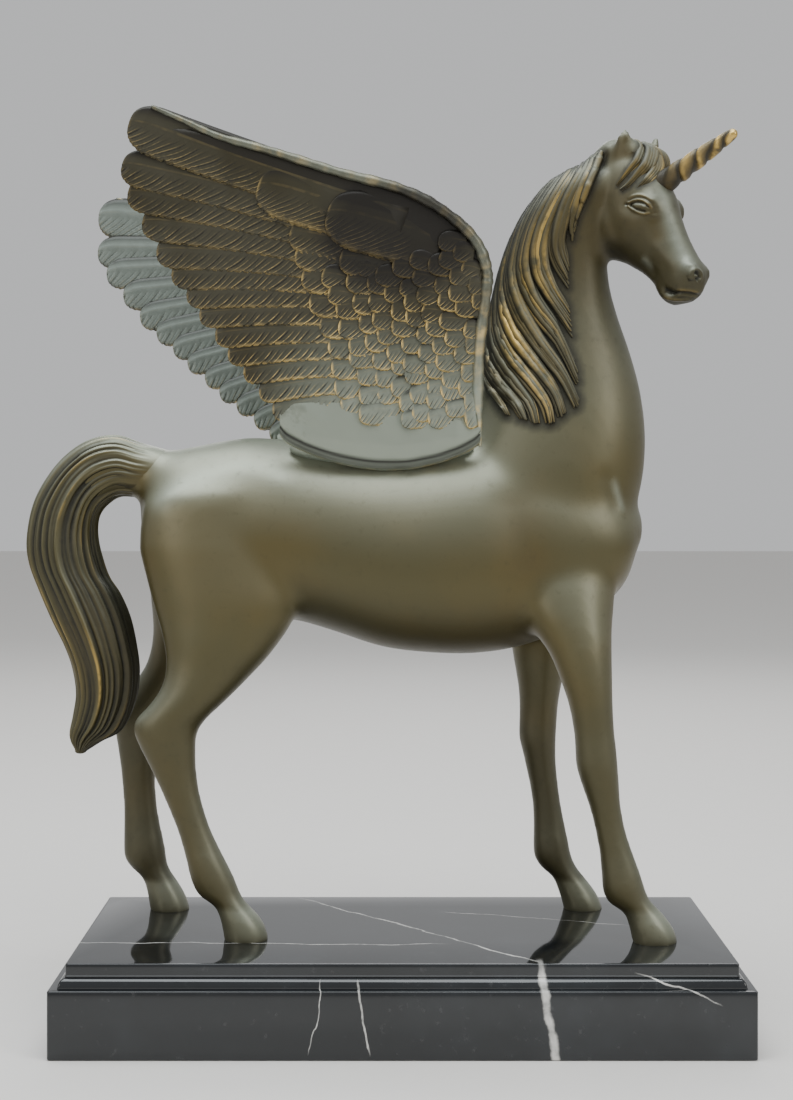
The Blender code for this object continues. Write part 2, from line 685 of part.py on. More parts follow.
def root_pad(bm, grow=0.0):
    """The wing's smooth root, seated in the horse's back; grow makes the pocket's cutter."""
    rings = []
    rows = np.array(ROOT_PAD, float)
    first, last = rows[0, 0], rows[-1, 0]
    turns = 2 * math.pi * np.arange(10) / 10
    for x, low, high in rows:
        share = min(1.0, ROOT_END_SHARE + (1 - ROOT_END_SHARE) * min(x - first, last - x) / ROOT_END_RUN)
        half = ROOT_THICKNESS / 2 * share + grow
        up = (low + high) / 2 + ((high - low) / 2 + grow) * np.cos(turns)
        out = half * np.sin(turns) * (1 - ROOT_EGG * np.cos(turns))
        end = int(x == last) - int(x == first)
        rings.append(np.column_stack([np.full(10, x + grow * end), out, up]))
    skin(bm, rings)


def root_boss(bm, grow=0.0):
    """The muscle that joins the wing to the back."""
    x, out, up, *radii = WING_BOSS
    ball(bm, (x, out, up), [radius + grow for radius in radii], segments=12)


def feathered(bm):
    loft(bm, [(a, b, c, d, ARM_THICKNESS / 2, 0, 0) for a, b, c, d in WING_ARM], around=6, steps=1)
    edge = [(x, 0, up) for x, up in LEADING_EDGE]
    radii = EDGE_RADIUS * np.linspace(1, EDGE_TIP_SHARE, len(edge))
    blade(bm, edge, radii, radii, around=6)
    for x, up, tip_x, tip_up, width in LONG_FEATHERS:
        t, shares = np.array(LONG_FEATHER_FORM).T
        path = np.outer(1 - t, (x, 0, up)) + np.outer(t, (tip_x, 0, tip_up))
        path[:, 2] += FEATHER_BEND * np.sin(math.pi * t)
        blade(bm, path, width / 2 * shares, FEATHER_THICKNESS / 2 * (1 - 0.4 * t**4), tilt=FEATHER_TILT)
    for line, count, length, width in COVERT_ROWS:
        tips = through(line, 12)[np.linspace(0, 24, count).round().astype(int)]
        for tip, turn in zip(tips, np.radians(np.linspace(*COVERT_FAN, count))):
            way = np.array([math.cos(turn), 0, math.sin(turn)])
            t, shares = np.array(COVERT_FORM).T
            path = np.array([tip[0], 0, tip[1]]) - np.outer(length * (1 - t), way)
            blade(bm, path, width / 2 * shares, COVERT_THICKNESS / 2 * (0.5 + 0.5 * t), around=6)


def wing_place(way, sweep):
    """From the wing's frame (forward, outward, up) to the part's; way is -1 for the right wing, 1 for the left."""
    x, out, up = WING_ROOT
    back = Matrix.Rotation(math.radians(-sweep), 4, "Y")
    lean = Matrix.Rotation(math.radians(-WING_LEAN), 4, "X")
    middle = Matrix.Translation((-x, 0, 0))
    side = Matrix.Diagonal((1, way, 1, 1))
    seat = Matrix.Translation((x, HORSE_Y + way * out, up + BASE_TOP + SEAT_GAP))
    return seat @ side @ lean @ back @ middle


def wing_piece(name, form, place, group, finish=None, **settings):
    bm = bmesh.new()
    form(bm, **settings)
    bm.transform(place)
    return as_object(name, bm, group, finish)


def build_wing(name, way, sweep, parts, cutters, bronze):
    """The wing, and the cutters of the pocket that its root sits in."""
    place = wing_place(way, sweep)
    wing = wing_piece(name, root_pad, place, parts, bronze)
    for form in (root_boss, feathered):
        added = as_cutter(wing_piece(f"{name} {form.__name__}", form, place, cutters))
        boolean(wing, added, "UNION").use_self = True
    return [
        as_cutter(wing_piece(f"{name} {form.__name__} pocket", form, place, cutters, grow=SEAT_GAP))
        for form in (root_pad, root_boss)
    ]


def horn_place():
    """From the horn's own frame, seat at the origin and tip along +Z, to the part's frame."""
    along = HORN_WAY[0] * DOWN_FACE + HORN_WAY[1] * OUT_OF_FACE
    turn = Vector(unit(along)).to_track_quat("Z", "Y").to_matrix().to_4x4()
    lift = Vector((0, HORSE_Y, BASE_TOP + SEAT_GAP))
    return Matrix.Translation(Vector(on_head(HORN_SEAT_AT)) + lift) @ turn


def build_horn(parts, cutters, finish):
    """A tapering horn with one spiral ridge, and the cutter of its socket."""
    around, steps = 10, 15
    rings = []
    for up in np.linspace(0, HORN_LENGTH, steps):
        share = up / HORN_LENGTH
        radius = HORN_BASE_RADIUS + (HORN_TIP_RADIUS - HORN_BASE_RADIUS) * share**HORN_TAPER
        turns = 2 * math.pi * np.arange(around) / around
        ridge = np.cos(turns * 2 - 2 * math.pi * HORN_TURNS * share)
        reach = radius * (1 + HORN_RIDGE * ridge * (up > HORN_SEAT))
        rings.append(np.column_stack([reach * np.cos(turns), reach * np.sin(turns), np.full(around, up)]))
    bm = bmesh.new()
    skin(bm, rounded_ends(rings, 0, HORN_TIP_RADIUS))
    bm.transform(horn_place())
    as_object("horn", bm, parts, finish)
    socket = HORN_BASE_RADIUS * (1 + HORN_RIDGE) + SEAT_GAP
    bm = bmesh.new()
    bmesh.ops.create_cone(
        bm, cap_ends=True, segments=20, radius1=socket, radius2=socket, depth=HORN_LENGTH,
    )
    bmesh.ops.translate(bm, verts=bm.verts, vec=(0, 0, HORN_LENGTH / 2 - SEAT_GAP))
    bm.transform(horn_place())
    return as_cutter(as_object("horn socket", bm, cutters))


def cylinder(bm, diameter, low, high, place, segments=24):
    made = bmesh.ops.create_cone(
        bm, cap_ends=True, segments=segments, radius1=diameter / 2, radius2=diameter / 2, depth=high - low
    )
    bmesh.ops.translate(bm, verts=made["verts"], vec=(place[0], place[1], (low + high) / 2))


def build_base(parts, cutters, marble):
    """A slab with a ledge, a cove and an upper band, bored for the studs from below."""
    cove_top = SLAB_HEIGHT + COVE_HEIGHT
    profile = [(EDGE_ROUND, 0), (0, EDGE_ROUND), (0, SLAB_HEIGHT - EDGE_ROUND), (EDGE_ROUND, SLAB_HEIGHT)]
    for angle in (0, 30, 60, 90):
        turn = math.radians(angle)
        profile.append((LEDGE + COVE_WIDTH * (1 - math.cos(turn)), SLAB_HEIGHT + COVE_HEIGHT * math.sin(turn)))
    inset = LEDGE + COVE_WIDTH
    profile += [(inset, cove_top + BAND_FOOT), (inset, BASE_TOP - EDGE_ROUND), (inset + EDGE_ROUND, BASE_TOP)]
    rings = []
    for inset, up in profile:
        x, y = BASE_LENGTH / 2 - inset, BASE_DEPTH / 2 - inset
        rings.append([(-x, -y, up), (x, -y, up), (x, y, up), (-x, y, up)])
    bm = bmesh.new()
    skin(bm, rings)
    base = as_object("base", bm, parts, marble)
    bm = bmesh.new()
    for x, y in HOOVES.values():
        cylinder(bm, COUNTERBORE_DIAMETER, -1, COUNTERBORE_DEPTH, (x, y + HORSE_Y), 20)
    boolean(base, as_cutter(as_object("counterbores", bm, cutters)), "DIFFERENCE")
    bm = bmesh.new()
    for x, y in HOOVES.values():
        cylinder(bm, STUD_DIAMETER + 2 * SEAT_GAP, COUNTERBORE_DEPTH - 2, BASE_TOP + 1, (x, y + HORSE_Y), 12)
    boolean(base, as_cutter(as_object("stud holes", bm, cutters)), "DIFFERENCE")


def build_fixings(parts, cutters, steel, zinc):
    washer_top = COUNTERBORE_DEPTH - SEAT_GAP
    nut_top = washer_top - WASHER_THICKNESS - SEAT_GAP
    nut_bottom = nut_top - NUT_HEIGHT
    hoof_floor = BASE_TOP + SEAT_GAP
    for name, (x, y) in HOOVES.items():
        place = (x, y + HORSE_Y)
        bm = bmesh.new()
        cylinder(bm, STUD_DIAMETER, nut_bottom - STUD_BELOW_NUT, hoof_floor + STUD_IN_HOOF, place, 12)
        as_object("stud_" + name, bm, parts, steel)
        for kind, diameter, low, high, sides in (
            ("washer_", WASHER_DIAMETER, washer_top - WASHER_THICKNESS, washer_top, 20),
            ("nut_", NUT_ACROSS_FLATS / math.cos(math.radians(30)), nut_bottom, nut_top, 6),
        ):
            bm = bmesh.new()
            cylinder(bm, diameter, low, high, place, sides)
            ring = as_object(kind + name, bm, parts, zinc)
            bm = bmesh.new()
            cylinder(bm, STUD_DIAMETER + 2 * SEAT_GAP, low - 1, high + 1, place, 12)
            boolean(ring, as_cutter(as_object(kind + name + " bore", bm, cutters)), "DIFFERENCE")


def build_floor_cutters(cutters):
    """What squares off the soles, and the tapped holes in the hooves."""
    floor = BASE_TOP + SEAT_GAP
    bm = bmesh.new()
    bmesh.ops.create_cube(bm, size=1.0)
    bm.transform(Matrix.Translation((0, 0, floor - 10)) @ Matrix.Diagonal((400, 200, 20, 1)))
    soles = as_cutter(as_object("sole plane", bm, cutters))
    bm = bmesh.new()
    for x, y in HOOVES.values():
        cylinder(bm, STUD_DIAMETER + 2 * SEAT_GAP, floor - 1, floor + STUD_IN_HOOF + 1, (x, y + HORSE_Y), 12)
    return soles, as_cutter(as_object("hoof holes", bm, cutters))


def main():
    clear_scene()
    parts = collection("winged horse figurine")
    cutters = collection("cutters")
    bronze = material("brown bronze", (0.16, 0.14, 0.085), 0.42, 0.9)
    wing_bronze = material("dark rubbed bronze", (0.13, 0.11, 0.07), 0.45, 0.9)
    gilt_bronze = material("gold rubbed bronze", (0.35, 0.26, 0.1), 0.4, 0.9)
    marble = material("black marble", (0.012, 0.012, 0.013), 0.12, 0.0)
    steel = material("plain steel", (0.42, 0.42, 0.42), 0.35, 1.0)
    zinc = material("zinc plated steel", (0.55, 0.55, 0.53), 0.4, 1.0)

    build_base(parts, cutters, marble)
    build_fixings(parts, cutters, steel, zinc)
    horse = build_horse(parts, cutters, bronze)
    pockets = [build_horn(parts, cutters, gilt_bronze), *build_floor_cutters(cutters)]
    for name, way, sweep in (("wing_right", -1, RIGHT_WING_SWEEP), ("wing_left", 1, LEFT_WING_SWEEP)):
        pockets += build_wing(name, way, sweep, parts, cutters, wing_bronze)
    for pocket in pockets:
        boolean(horse, pocket, "DIFFERENCE")


main()
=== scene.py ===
import math

import bmesh
import bpy
import numpy as np
from mathutils import Matrix, Vector
from mathutils.bvhtree import BVHTree


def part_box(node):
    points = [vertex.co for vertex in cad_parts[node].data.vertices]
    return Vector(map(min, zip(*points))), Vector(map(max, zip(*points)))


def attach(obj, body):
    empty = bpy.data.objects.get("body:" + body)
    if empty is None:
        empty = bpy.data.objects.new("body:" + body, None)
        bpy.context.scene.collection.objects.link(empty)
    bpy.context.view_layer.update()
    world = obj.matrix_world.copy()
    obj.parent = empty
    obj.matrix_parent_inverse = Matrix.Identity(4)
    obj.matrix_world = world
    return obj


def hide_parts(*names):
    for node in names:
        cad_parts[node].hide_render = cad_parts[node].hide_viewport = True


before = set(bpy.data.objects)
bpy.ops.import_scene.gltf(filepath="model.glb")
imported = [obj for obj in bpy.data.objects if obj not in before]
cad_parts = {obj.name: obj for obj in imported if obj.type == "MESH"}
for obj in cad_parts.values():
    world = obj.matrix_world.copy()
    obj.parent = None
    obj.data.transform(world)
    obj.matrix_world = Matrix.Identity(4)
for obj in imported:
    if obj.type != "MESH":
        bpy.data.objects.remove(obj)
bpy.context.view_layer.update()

# Camera: it stands level before the horse's right side, 0.92 m from the middle of the marble.
# Lengths are in millimetres until a mesh or a light is made, and pixels are those of the 793 by 1100 frame.
MM = 0.001
PHOTO_WIDTH, PHOTO_HEIGHT = 793, 1100
FOCAL_PX = 1824.4
AXIS_PX = (386.9, 480.2)
CAMERA_AT = np.array([-7.2, -921.2, 269.0])
SENSOR = 36.0
lens = bpy.data.cameras.new("camera")
lens.sensor_width = SENSOR
lens.lens = FOCAL_PX * SENSOR / PHOTO_HEIGHT
lens.shift_x = (PHOTO_WIDTH / 2 - AXIS_PX[0]) / PHOTO_HEIGHT
lens.shift_y = (AXIS_PX[1] - PHOTO_HEIGHT / 2) / PHOTO_HEIGHT
camera = bpy.data.objects.new("camera", lens)
camera.location = CAMERA_AT * MM
camera.rotation_euler = (math.pi / 2, 0, 0)
bpy.context.scene.collection.objects.link(camera)
bpy.context.scene.camera = camera


def sight(pixel):
    """The direction in which the camera sees a pixel of the photograph."""
    across = (pixel[0] - AXIS_PX[0]) / FOCAL_PX
    down = (pixel[1] - AXIS_PX[1]) / FOCAL_PX
    return np.array([across, 1.0, -down])


# Studio: soft boxes above, in front and behind, over a plain pale floor.
# Nothing of it belongs to the figurine.
def softbox(name, place, aim, size, power, tint=(1.0, 1.0, 1.0)):
    light = bpy.data.lights.new(name, "AREA")
    light.shape = "RECTANGLE"
    light.size, light.size_y = size
    light.energy = power
    light.color = tint
    thing = bpy.data.objects.new(name, light)
    thing.location = place
    thing.rotation_euler = (Vector(aim) - Vector(place)).to_track_quat("-Z", "Y").to_euler()
    bpy.context.scene.collection.objects.link(thing)


MIDDLE = (0.0, 0.0, 0.24)
softbox("overhead box", (-0.15, -0.25, 1.5), MIDDLE, (1.5, 1.0), 27, (0.92, 0.97, 1.0))
softbox("right box", (1.3, -1.0, 1.0), MIDDLE, (0.6, 0.9), 9, (1.0, 0.98, 0.95))
softbox("left box", (-1.3, -1.3, 0.7), MIDDLE, (0.6, 0.9), 5, (1.0, 0.97, 0.93))
softbox("rear box", (0.2, 1.4, 1.1), MIDDLE, (1.2, 0.6), 7)

world = bpy.data.worlds.new("studio")
bpy.context.scene.world = world
world.use_nodes = True
surround = world.node_tree.nodes["Background"]
surround.inputs["Color"].default_value = (0.82, 0.83, 0.84, 1.0)
surround.inputs["Strength"].default_value = 0.72


# Figures and settings of a finish are written as plain sums: an expression on a socket's values
# adds the Math nodes, and every other node comes from add, with its settings before its sockets.
class Value:
    """A socket in a finish, on which Python's operators add Math nodes."""

    def __init__(self, finish, socket):
        self.finish = finish
        self.socket = socket

    def math(self, operation, *others):
        return self.finish.add("Math", {"operation": operation}, dict(enumerate((self, *others))))

    def __add__(self, other):
        return self.math("ADD", other)

    def __sub__(self, other):
        return self.math("SUBTRACT", other)

    def __mul__(self, other):
        return self.math("MULTIPLY", other)

    def __rsub__(self, other):
        return self.finish.add("Math", {"operation": "SUBTRACT"}, {0: other, 1: self})

    __radd__ = __add__
    __rmul__ = __mul__

    def between(self, low, high):
        """0 up to low, 1 from high on, and smooth between them."""
        settings = {"interpolation_type": "SMOOTHSTEP"}
        return self.finish.add("MapRange", settings, {"Value": self, "From Min": low, "From Max": high})


class Finish:
    """A material with its Principled shader, built up node by node."""

    def __init__(self, name, **sockets):
        self.material = bpy.data.materials.new(name)
        self.material.use_nodes = True
        self.tree = self.material.node_tree
        self.shader = self.tree.nodes["Principled BSDF"]
        for socket, value in sockets.items():
            self.put(self.shader.inputs[socket.replace("_", " ")], value)

    def put(self, socket, value):
        if isinstance(value, Value):
            self.tree.links.new(value.socket, socket)
        elif isinstance(value, tuple) and len(value) == 3 and len(socket.default_value) == 4:
            socket.default_value = (*value, 1.0)
        else:
            socket.default_value = value

    def add(self, kind, settings, values, out=0):
        node = self.tree.nodes.new("ShaderNode" + kind)
        for name, value in settings.items():
            setattr(node, name, value)
        for name, value in values.items():
            self.put(node.inputs[name], value)
        return Value(self, node.outputs[out])

    def mark(self, name):
        """A number that the mesh carries at each of its points."""
        return self.add("Attribute", {"attribute_name": name}, {}, out="Fac")

    def place(self):
        return self.add("TexCoord", {}, {}, out="Object")

    def noise(self, scale, detail, roughness=0.5):
        values = {"Vector": self.place(), "Scale": scale, "Detail": detail, "Roughness": roughness}
        return self.add("TexNoise", {}, values)

    def mix(self, share, one, two):
        return self.add("Mix", {"data_type": "RGBA"}, {0: share, 6: one, 7: two}, out=2)

    def vector(self, operation, *values, out=0):
        return self.add("VectorMath", {"operation": operation}, dict(enumerate(values)), out)

    def bump(self, height, distance, strength):
        return self.add("Bump", {}, {"Height": height, "Distance": distance, "Strength": strength})

    def feed(self, **sockets):
        for socket, value in sockets.items():
            self.put(self.shader.inputs[socket.replace("_", " ")], value)
        return self.material


floor_finish = Finish("pale paper", Roughness=0.85)
grain = floor_finish.noise(60, 2)
floor_finish.feed(Base_Color=floor_finish.mix(grain * 0.25, (0.74, 0.72, 0.69), (0.66, 0.64, 0.61)))
FLOOR_REACH = 6.0
FLOOR_DROP = 0.0002
square = ((-1, -1), (1, -1), (1, 1), (-1, 1))
floor_corners = [(x * FLOOR_REACH, y * FLOOR_REACH, -FLOOR_DROP) for x, y in square]
floor_mesh = bpy.data.meshes.new("floor")
floor_mesh.from_pydata(floor_corners, [], [(0, 1, 2, 3)])
floor_mesh.materials.append(floor_finish.material)
floor = bpy.data.objects.new("floor", floor_mesh)
bpy.context.scene.collection.objects.link(floor)


# Marble base: one polished slab of black marble with a ledge, a cove and an upper band, eased on
# its edges, with a counterbored hole under each hoof. White veins run right through the stone.
BASE_LENGTH, BASE_DEPTH = 330.0, 152.0
SLAB_HEIGHT = 32.0
LEDGE = 4.0
COVE_WIDTH, COVE_HEIGHT = 3.3, 4.5
BASE_TOP = 43.0
# Small step under the upper band: how deep it is, and how far above the cove it and the band's edge start
STEP_DEPTH, STEP_TOP, BAND_FOOT = 0.3, 0.8, 1.0
EDGE_ROUND = 0.6
CORNER_ROUND = 1.2
SEAT_GAP = 0.3
HORSE_Y = 8.0
HOOVES = ((124.0, -35.0), (96.5, 35.6), (-76.5, -29.5), (-121.5, 34.0))
COUNTERBORE_DIAMETER, COUNTERBORE_DEPTH = 16.0, 12.0
STUD_DIAMETER = 5.0
# How far a drill runs past the face it comes out of
DRILL_PAST = 1.0
# Edges of the slab that turn by more degrees than this are sharp
SHARP_FROM = 35.0


def wrap(rings):
    """Points and faces of a closed skin over rings of as many points each."""
    rings = np.asarray(rings, float)
    count, around = rings.shape[:2]
    one = np.arange(around)
    two = (one + 1) % around
    rows = np.arange(count - 1)[:, None] * around
    corners = [rows + one, rows + two, rows + around + two, rows + around + one]
    faces = np.stack(corners, -1).reshape(-1, 4).tolist()
    faces += [list(range(around))[::-1], list(range((count - 1) * around, count * around))]
    return rings.reshape(-1, 3), faces


def right_way(points, faces):
    """The faces, all turned over if they enclose a negative volume."""
    volume = 0.0
    for size in (3, 4):
        flat = np.array([face for face in faces if len(face) == size], int)
        for last in range(2, size):
            if len(flat):
                volume += np.linalg.det(points[flat[:, [0, last - 1, last]]]).sum()
    return faces if volume > 0 else [face[::-1] for face in faces]


def make(name, shapes, finish, place=None, smooth=True):
    """One mesh object from shapes: points in millimetres, faces, and marks that name numbers per point."""
    names = sorted({mark for shape in shapes for mark in shape[2]})
    points, faces, marks, start = [], [], {mark: [] for mark in names}, 0
    for own, skin, carried in shapes:
        if place is not None:
            own = own @ np.array(place.to_3x3()).T + np.array(place.to_translation())
        points.append(own)
        faces += [[i + start for i in face] for face in right_way(own, skin)]
        for mark in names:
            marks[mark].append(np.broadcast_to(carried.get(mark, 0.0), len(own)))
        start += len(own)
    mesh = bpy.data.meshes.new(name)
    mesh.from_pydata((np.vstack(points) * MM).tolist(), [], faces)
    for mark in names:
        layer = mesh.attributes.new(mark, "FLOAT", "POINT")
        layer.data.foreach_set("value", np.concatenate(marks[mark]).astype(np.float32))
    if smooth:
        mesh.polygons.foreach_set("use_smooth", [True] * len(mesh.polygons))
    if finish:
        mesh.materials.append(finish)
    thing = bpy.data.objects.new(name, mesh)
    bpy.context.scene.collection.objects.link(thing)
    return thing


def freeze(thing):
    """Replaces the mesh by what its modifiers make of it."""
    bpy.context.view_layer.update()
    graph = bpy.context.evaluated_depsgraph_get()
    mesh = bpy.data.meshes.new_from_object(thing.evaluated_get(graph), depsgraph=graph)
    thing.modifiers.clear()
    thing.data = mesh
    return thing


def seat(piece, slot, *nodes):
    """The piece belongs to the figurine and stands for the CAD nodes; the slot is not used."""
    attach(piece, "root")
    if nodes:
        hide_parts(*nodes)


def turns_of(around):
    """The angles of as many points round a circle."""
    return 2 * math.pi * np.arange(around) / around


def circle(reach, up, x=0.0, y=0.0, around=40):
    """A level ring of points; reach is one radius or one for each point."""
    turns = turns_of(around)
    return np.column_stack([x + reach * np.cos(turns), y + reach * np.sin(turns), np.full(around, up)])


def corner_points(half_x, half_y, radius):
    """A rectangle's outline with round corners."""
    points, steps = [], 5
    for quarter, (sx, sy) in enumerate(((1, 1), (-1, 1), (-1, -1), (1, -1))):
        for step in range(steps + 1):
            turn = math.radians(90 * quarter + 90 * step / steps)
            x = sx * (half_x - radius) + radius * math.cos(turn)
            y = sy * (half_y - radius) + radius * math.sin(turn)
            points.append((x, y))
    return points


def base_profile():
    """Inset and height round the slab's edge, from its underside to its top."""
    few, many = np.radians((0, 30, 60, 90)), np.radians(np.linspace(0, 90, 10))
    eased = [(EDGE_ROUND * (1 - math.cos(t)), EDGE_ROUND * (1 - math.sin(t))) for t in few]
    cove = [(COVE_WIDTH * (1 - math.cos(t)), COVE_HEIGHT * math.sin(t)) for t in many]
    cove_top = SLAB_HEIGHT + COVE_HEIGHT
    band = LEDGE + COVE_WIDTH
    rows = [(down, inset) for inset, down in eased]
    rows += [(inset, SLAB_HEIGHT - down) for inset, down in eased]
    rows += [(LEDGE + inset, SLAB_HEIGHT + up) for inset, up in cove]
    rows += [(band - STEP_DEPTH, cove_top + up) for up in (STEP_DEPTH, STEP_TOP)]
    rows += [(band, cove_top + BAND_FOOT)]
    rows += [(band + inset, BASE_TOP - down) for inset, down in eased]
    return rows


def rod(diameter, low, high, x, y):
    return (*wrap([circle(diameter / 2, up, x, y) for up in (low, high)]), {})


# Veins of the marble: the way across the vein, a point on it, its half width, and how far it runs
# from that point. All of them bend to and fro by the wander.
VEIN_WANDER = 9.0
VEINS = (
    ((0.746, 0.666, 0.0), (5.0, 0.0, 43.0), 0.5, 92),
    ((0.985, 0.05, 0.16), (68.0, -76.0, 22.0), 1.3, 27),
    ((0.02, 1.0, 0.1), (-75.0, -31.0, 43.0), 0.3, 96),
    ((0.985, 0.02, -0.17), (-40.5, -76.0, 20.0), 0.16, 18),
    ((0.99, -0.1, 0.16), (-18.7, -76.0, 20.0), 0.34, 17),
    ((0.35, 0.2, 0.9), (128.0, -76.0, 33.0), 0.2, 22),
    ((0.3, 0.95, 0.1), (70.0, 20.0, 43.0), 0.2, 50),
)


def marble_finish():
    stone = Finish("black marble", Coat_Weight=0.3, Coat_Roughness=0.04)
    where = stone.place()
    wander = stone.add("TexNoise", {}, {"Vector": where, "Scale": 38.0, "Detail": 4.0}, out="Color")
    shift = stone.vector("MULTIPLY_ADD", wander, (VEIN_WANDER,) * 3, (-VEIN_WANDER / 2,) * 3)
    bent = stone.vector("MULTIPLY_ADD", where, (1 / MM,) * 3, shift)
    spread = stone.noise(90, 5, 0.6)
    white = 0.0
    for across, middle, half, reach in VEINS:
        away = stone.vector("SUBTRACT", bent, middle)
        off = stone.vector("DOT_PRODUCT", away, across, out="Value")
        far = stone.vector("LENGTH", away, out="Value")
        width = spread * (half * 3.2)
        line = 1 - off.math("ABSOLUTE").between(width * 0.35, width + 0.15)
        white = line * (1 - far.between(reach * 0.8, reach * 1.05)) + white
    strength = spread.between(0.3, 0.62)
    white = (white * (0.35 + 0.65 * strength)).math("MINIMUM", 1.0)
    cloud = stone.noise(16, 6, 0.62).between(0.45, 0.8)
    fine = stone.noise(260, 3, 0.6).between(0.62, 0.75)
    dark = stone.mix(cloud * 0.7, (0.006, 0.0075, 0.009), (0.022, 0.026, 0.03))
    dark = stone.mix(fine * 0.12, dark, (0.16, 0.16, 0.16))
    return stone.feed(Base_Color=stone.mix(white, dark, (0.62, 0.61, 0.58)), Roughness=0.06 + white * 0.12)


marble = marble_finish()
rings = [
    [(x, y, up) for x, y in corner_points(BASE_LENGTH / 2 - inset, BASE_DEPTH / 2 - inset, CORNER_ROUND)]
    for inset, up in base_profile()
]
slab = make("marble_base", [(*wrap(rings), {})], marble, smooth=False)
feet = [(x, y + HORSE_Y) for x, y in HOOVES]
drills = [rod(COUNTERBORE_DIAMETER, -DRILL_PAST, COUNTERBORE_DEPTH, *foot) for foot in feet]
hole = STUD_DIAMETER + 2 * SEAT_GAP
holes = [rod(hole, COUNTERBORE_DEPTH - 2 * DRILL_PAST, BASE_TOP + DRILL_PAST, *foot) for foot in feet]
for name, cut in (("counterbores", drills), ("stud holes", holes)):
    cutter = make(name, cut, None)
    bored = slab.modifiers.new(name, "BOOLEAN")
    bored.object = cutter
    bored.solver = "EXACT"
    freeze(slab)
    bpy.data.objects.remove(cutter, do_unlink=True)
for face in slab.data.polygons:
    face.use_smooth = abs(face.normal.z) < 0.999
slab.data.set_sharp_from_angle(angle=math.radians(SHARP_FROM))
seat(slab, "marble", "base")


# Fixings: an M5 steel stud stands in each hoof and is held under the slab by a washer and a hexagon
# nut, both zinc plated. Only someone who turns the figurine over sees them.
STUD_PITCH = 0.8
THREAD_DEPTH = 0.25
# Plain end of a stud: how long it is, and how far it lies inside the thread
STUD_END, STUD_END_INSET = 0.4, 0.3
NUT_EDGE = 0.25


def metal_finish(name, color, rough):
    metal = Finish(name, Metallic=1.0)
    dull = metal.noise(900, 3).between(0.3, 0.8)
    return metal.feed(
        Base_Color=metal.mix(dull, color, tuple(0.75 * c for c in color)),
        Roughness=rough + 0.2 * dull,
        Normal=metal.bump(metal.noise(2500, 2), 0.00005, 0.4),
    )


def threaded_rod(low, high, x, y):
    """Rings whose radius rises and falls with the thread's turn."""
    around, per_turn = 16, 6
    rows = []
    for up in np.linspace(low, high, int((high - low) / STUD_PITCH * per_turn) + 1):
        inset = STUD_END_INSET
        if low + STUD_END < up < high - STUD_END:
            inset = THREAD_DEPTH * (0.5 - 0.5 * np.cos(2 * math.pi * up / STUD_PITCH - turns_of(around)))
        rows.append(circle(STUD_DIAMETER / 2 - inset, up, x, y, around))
    return (*wrap(rows), {})


steel = metal_finish("plain steel", (0.42, 0.42, 0.42), 0.3)
zinc = metal_finish("zinc plated steel", (0.6, 0.6, 0.57), 0.32)
for node in [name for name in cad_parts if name.startswith("stud_")]:
    low, high = (np.array(corner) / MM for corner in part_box(node))
    x, y, _ = (low + high) / 2
    seat(make("threaded_" + node, [threaded_rod(low[2], high[2], x, y)], steel), "steel", node)
for name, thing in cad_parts.items():
    if name.startswith(("nut_", "washer_")):
        thing.data.materials.clear()
        thing.data.materials.append(zinc)
        eased = thing.modifiers.new("eased edges", "BEVEL")
        eased.width = NUT_EDGE * MM
        eased.segments = 2


# Horse: one hollow casting in brown bronze, with its head turned to its right. Its rows are in its own
# frame, with the soles at z = 0 and the middle plane at y = 0, and it stands a little behind the
# marble's middle. Lines and folds are pressed into the skin where the camera sees them.
POLL = (119.3, -16.0, 388.0)
HEAD_TURN, HEAD_BOW = 40.0, 54.0
# Rows of the lofts: x and z of the upper or rear outline point, x and z of the lower or front one,
# half width, and y of both points
TORSO = [
    (-129, 231, -131, 196, 13, 0, 0),
    (-120, 240, -122, 170, 26, 0, 0),
    (-103, 243.5, -104, 159, 34, 0, 0),
    (-80, 247.5, -78, 157, 37.5, 0, 0),
    (-57, 246.5, -54, 154.5, 37, 0, 0),
    (-34, 243.5, -33, 148.5, 38.5, 0, 0),
    (-12, 242, -10, 141, 40.5, 0, 0),
    (12, 243, 13, 138, 41.5, 0, 0),
    (36, 247, 37, 137.5, 41, 0, 0),
    (60, 250, 60, 141, 38.5, 0, 0),
    (82, 245, 84, 150, 36, 0, 0),
    (102, 234, 103, 162, 31, 0, 0),
    (114, 221, 114, 174, 24, 0, 0),
    (120, 211, 119, 189, 14, 0, 0),
]
NECK = [
    (20, 236, 106, 190, 32, 0, 0),
    (33, 252, 120, 214, 32, 0, 0),
    (41, 269, 124.5, 242, 29, 0, 0),
    (43, 286, 122.5, 268, 25, 0, 0),
    (45, 303, 117, 290, 21.5, 0, 0),
    (48, 320, 110.5, 309, 18.5, 0, -1),
    (53, 339, 106, 326, 16, -1, -3),
    (62, 359, 105, 342, 14, -4, -5),
    (77, 377, 107, 354, 12.5, -8, -8),
    (95, 387, 112, 362, 11, -12, -11),
]
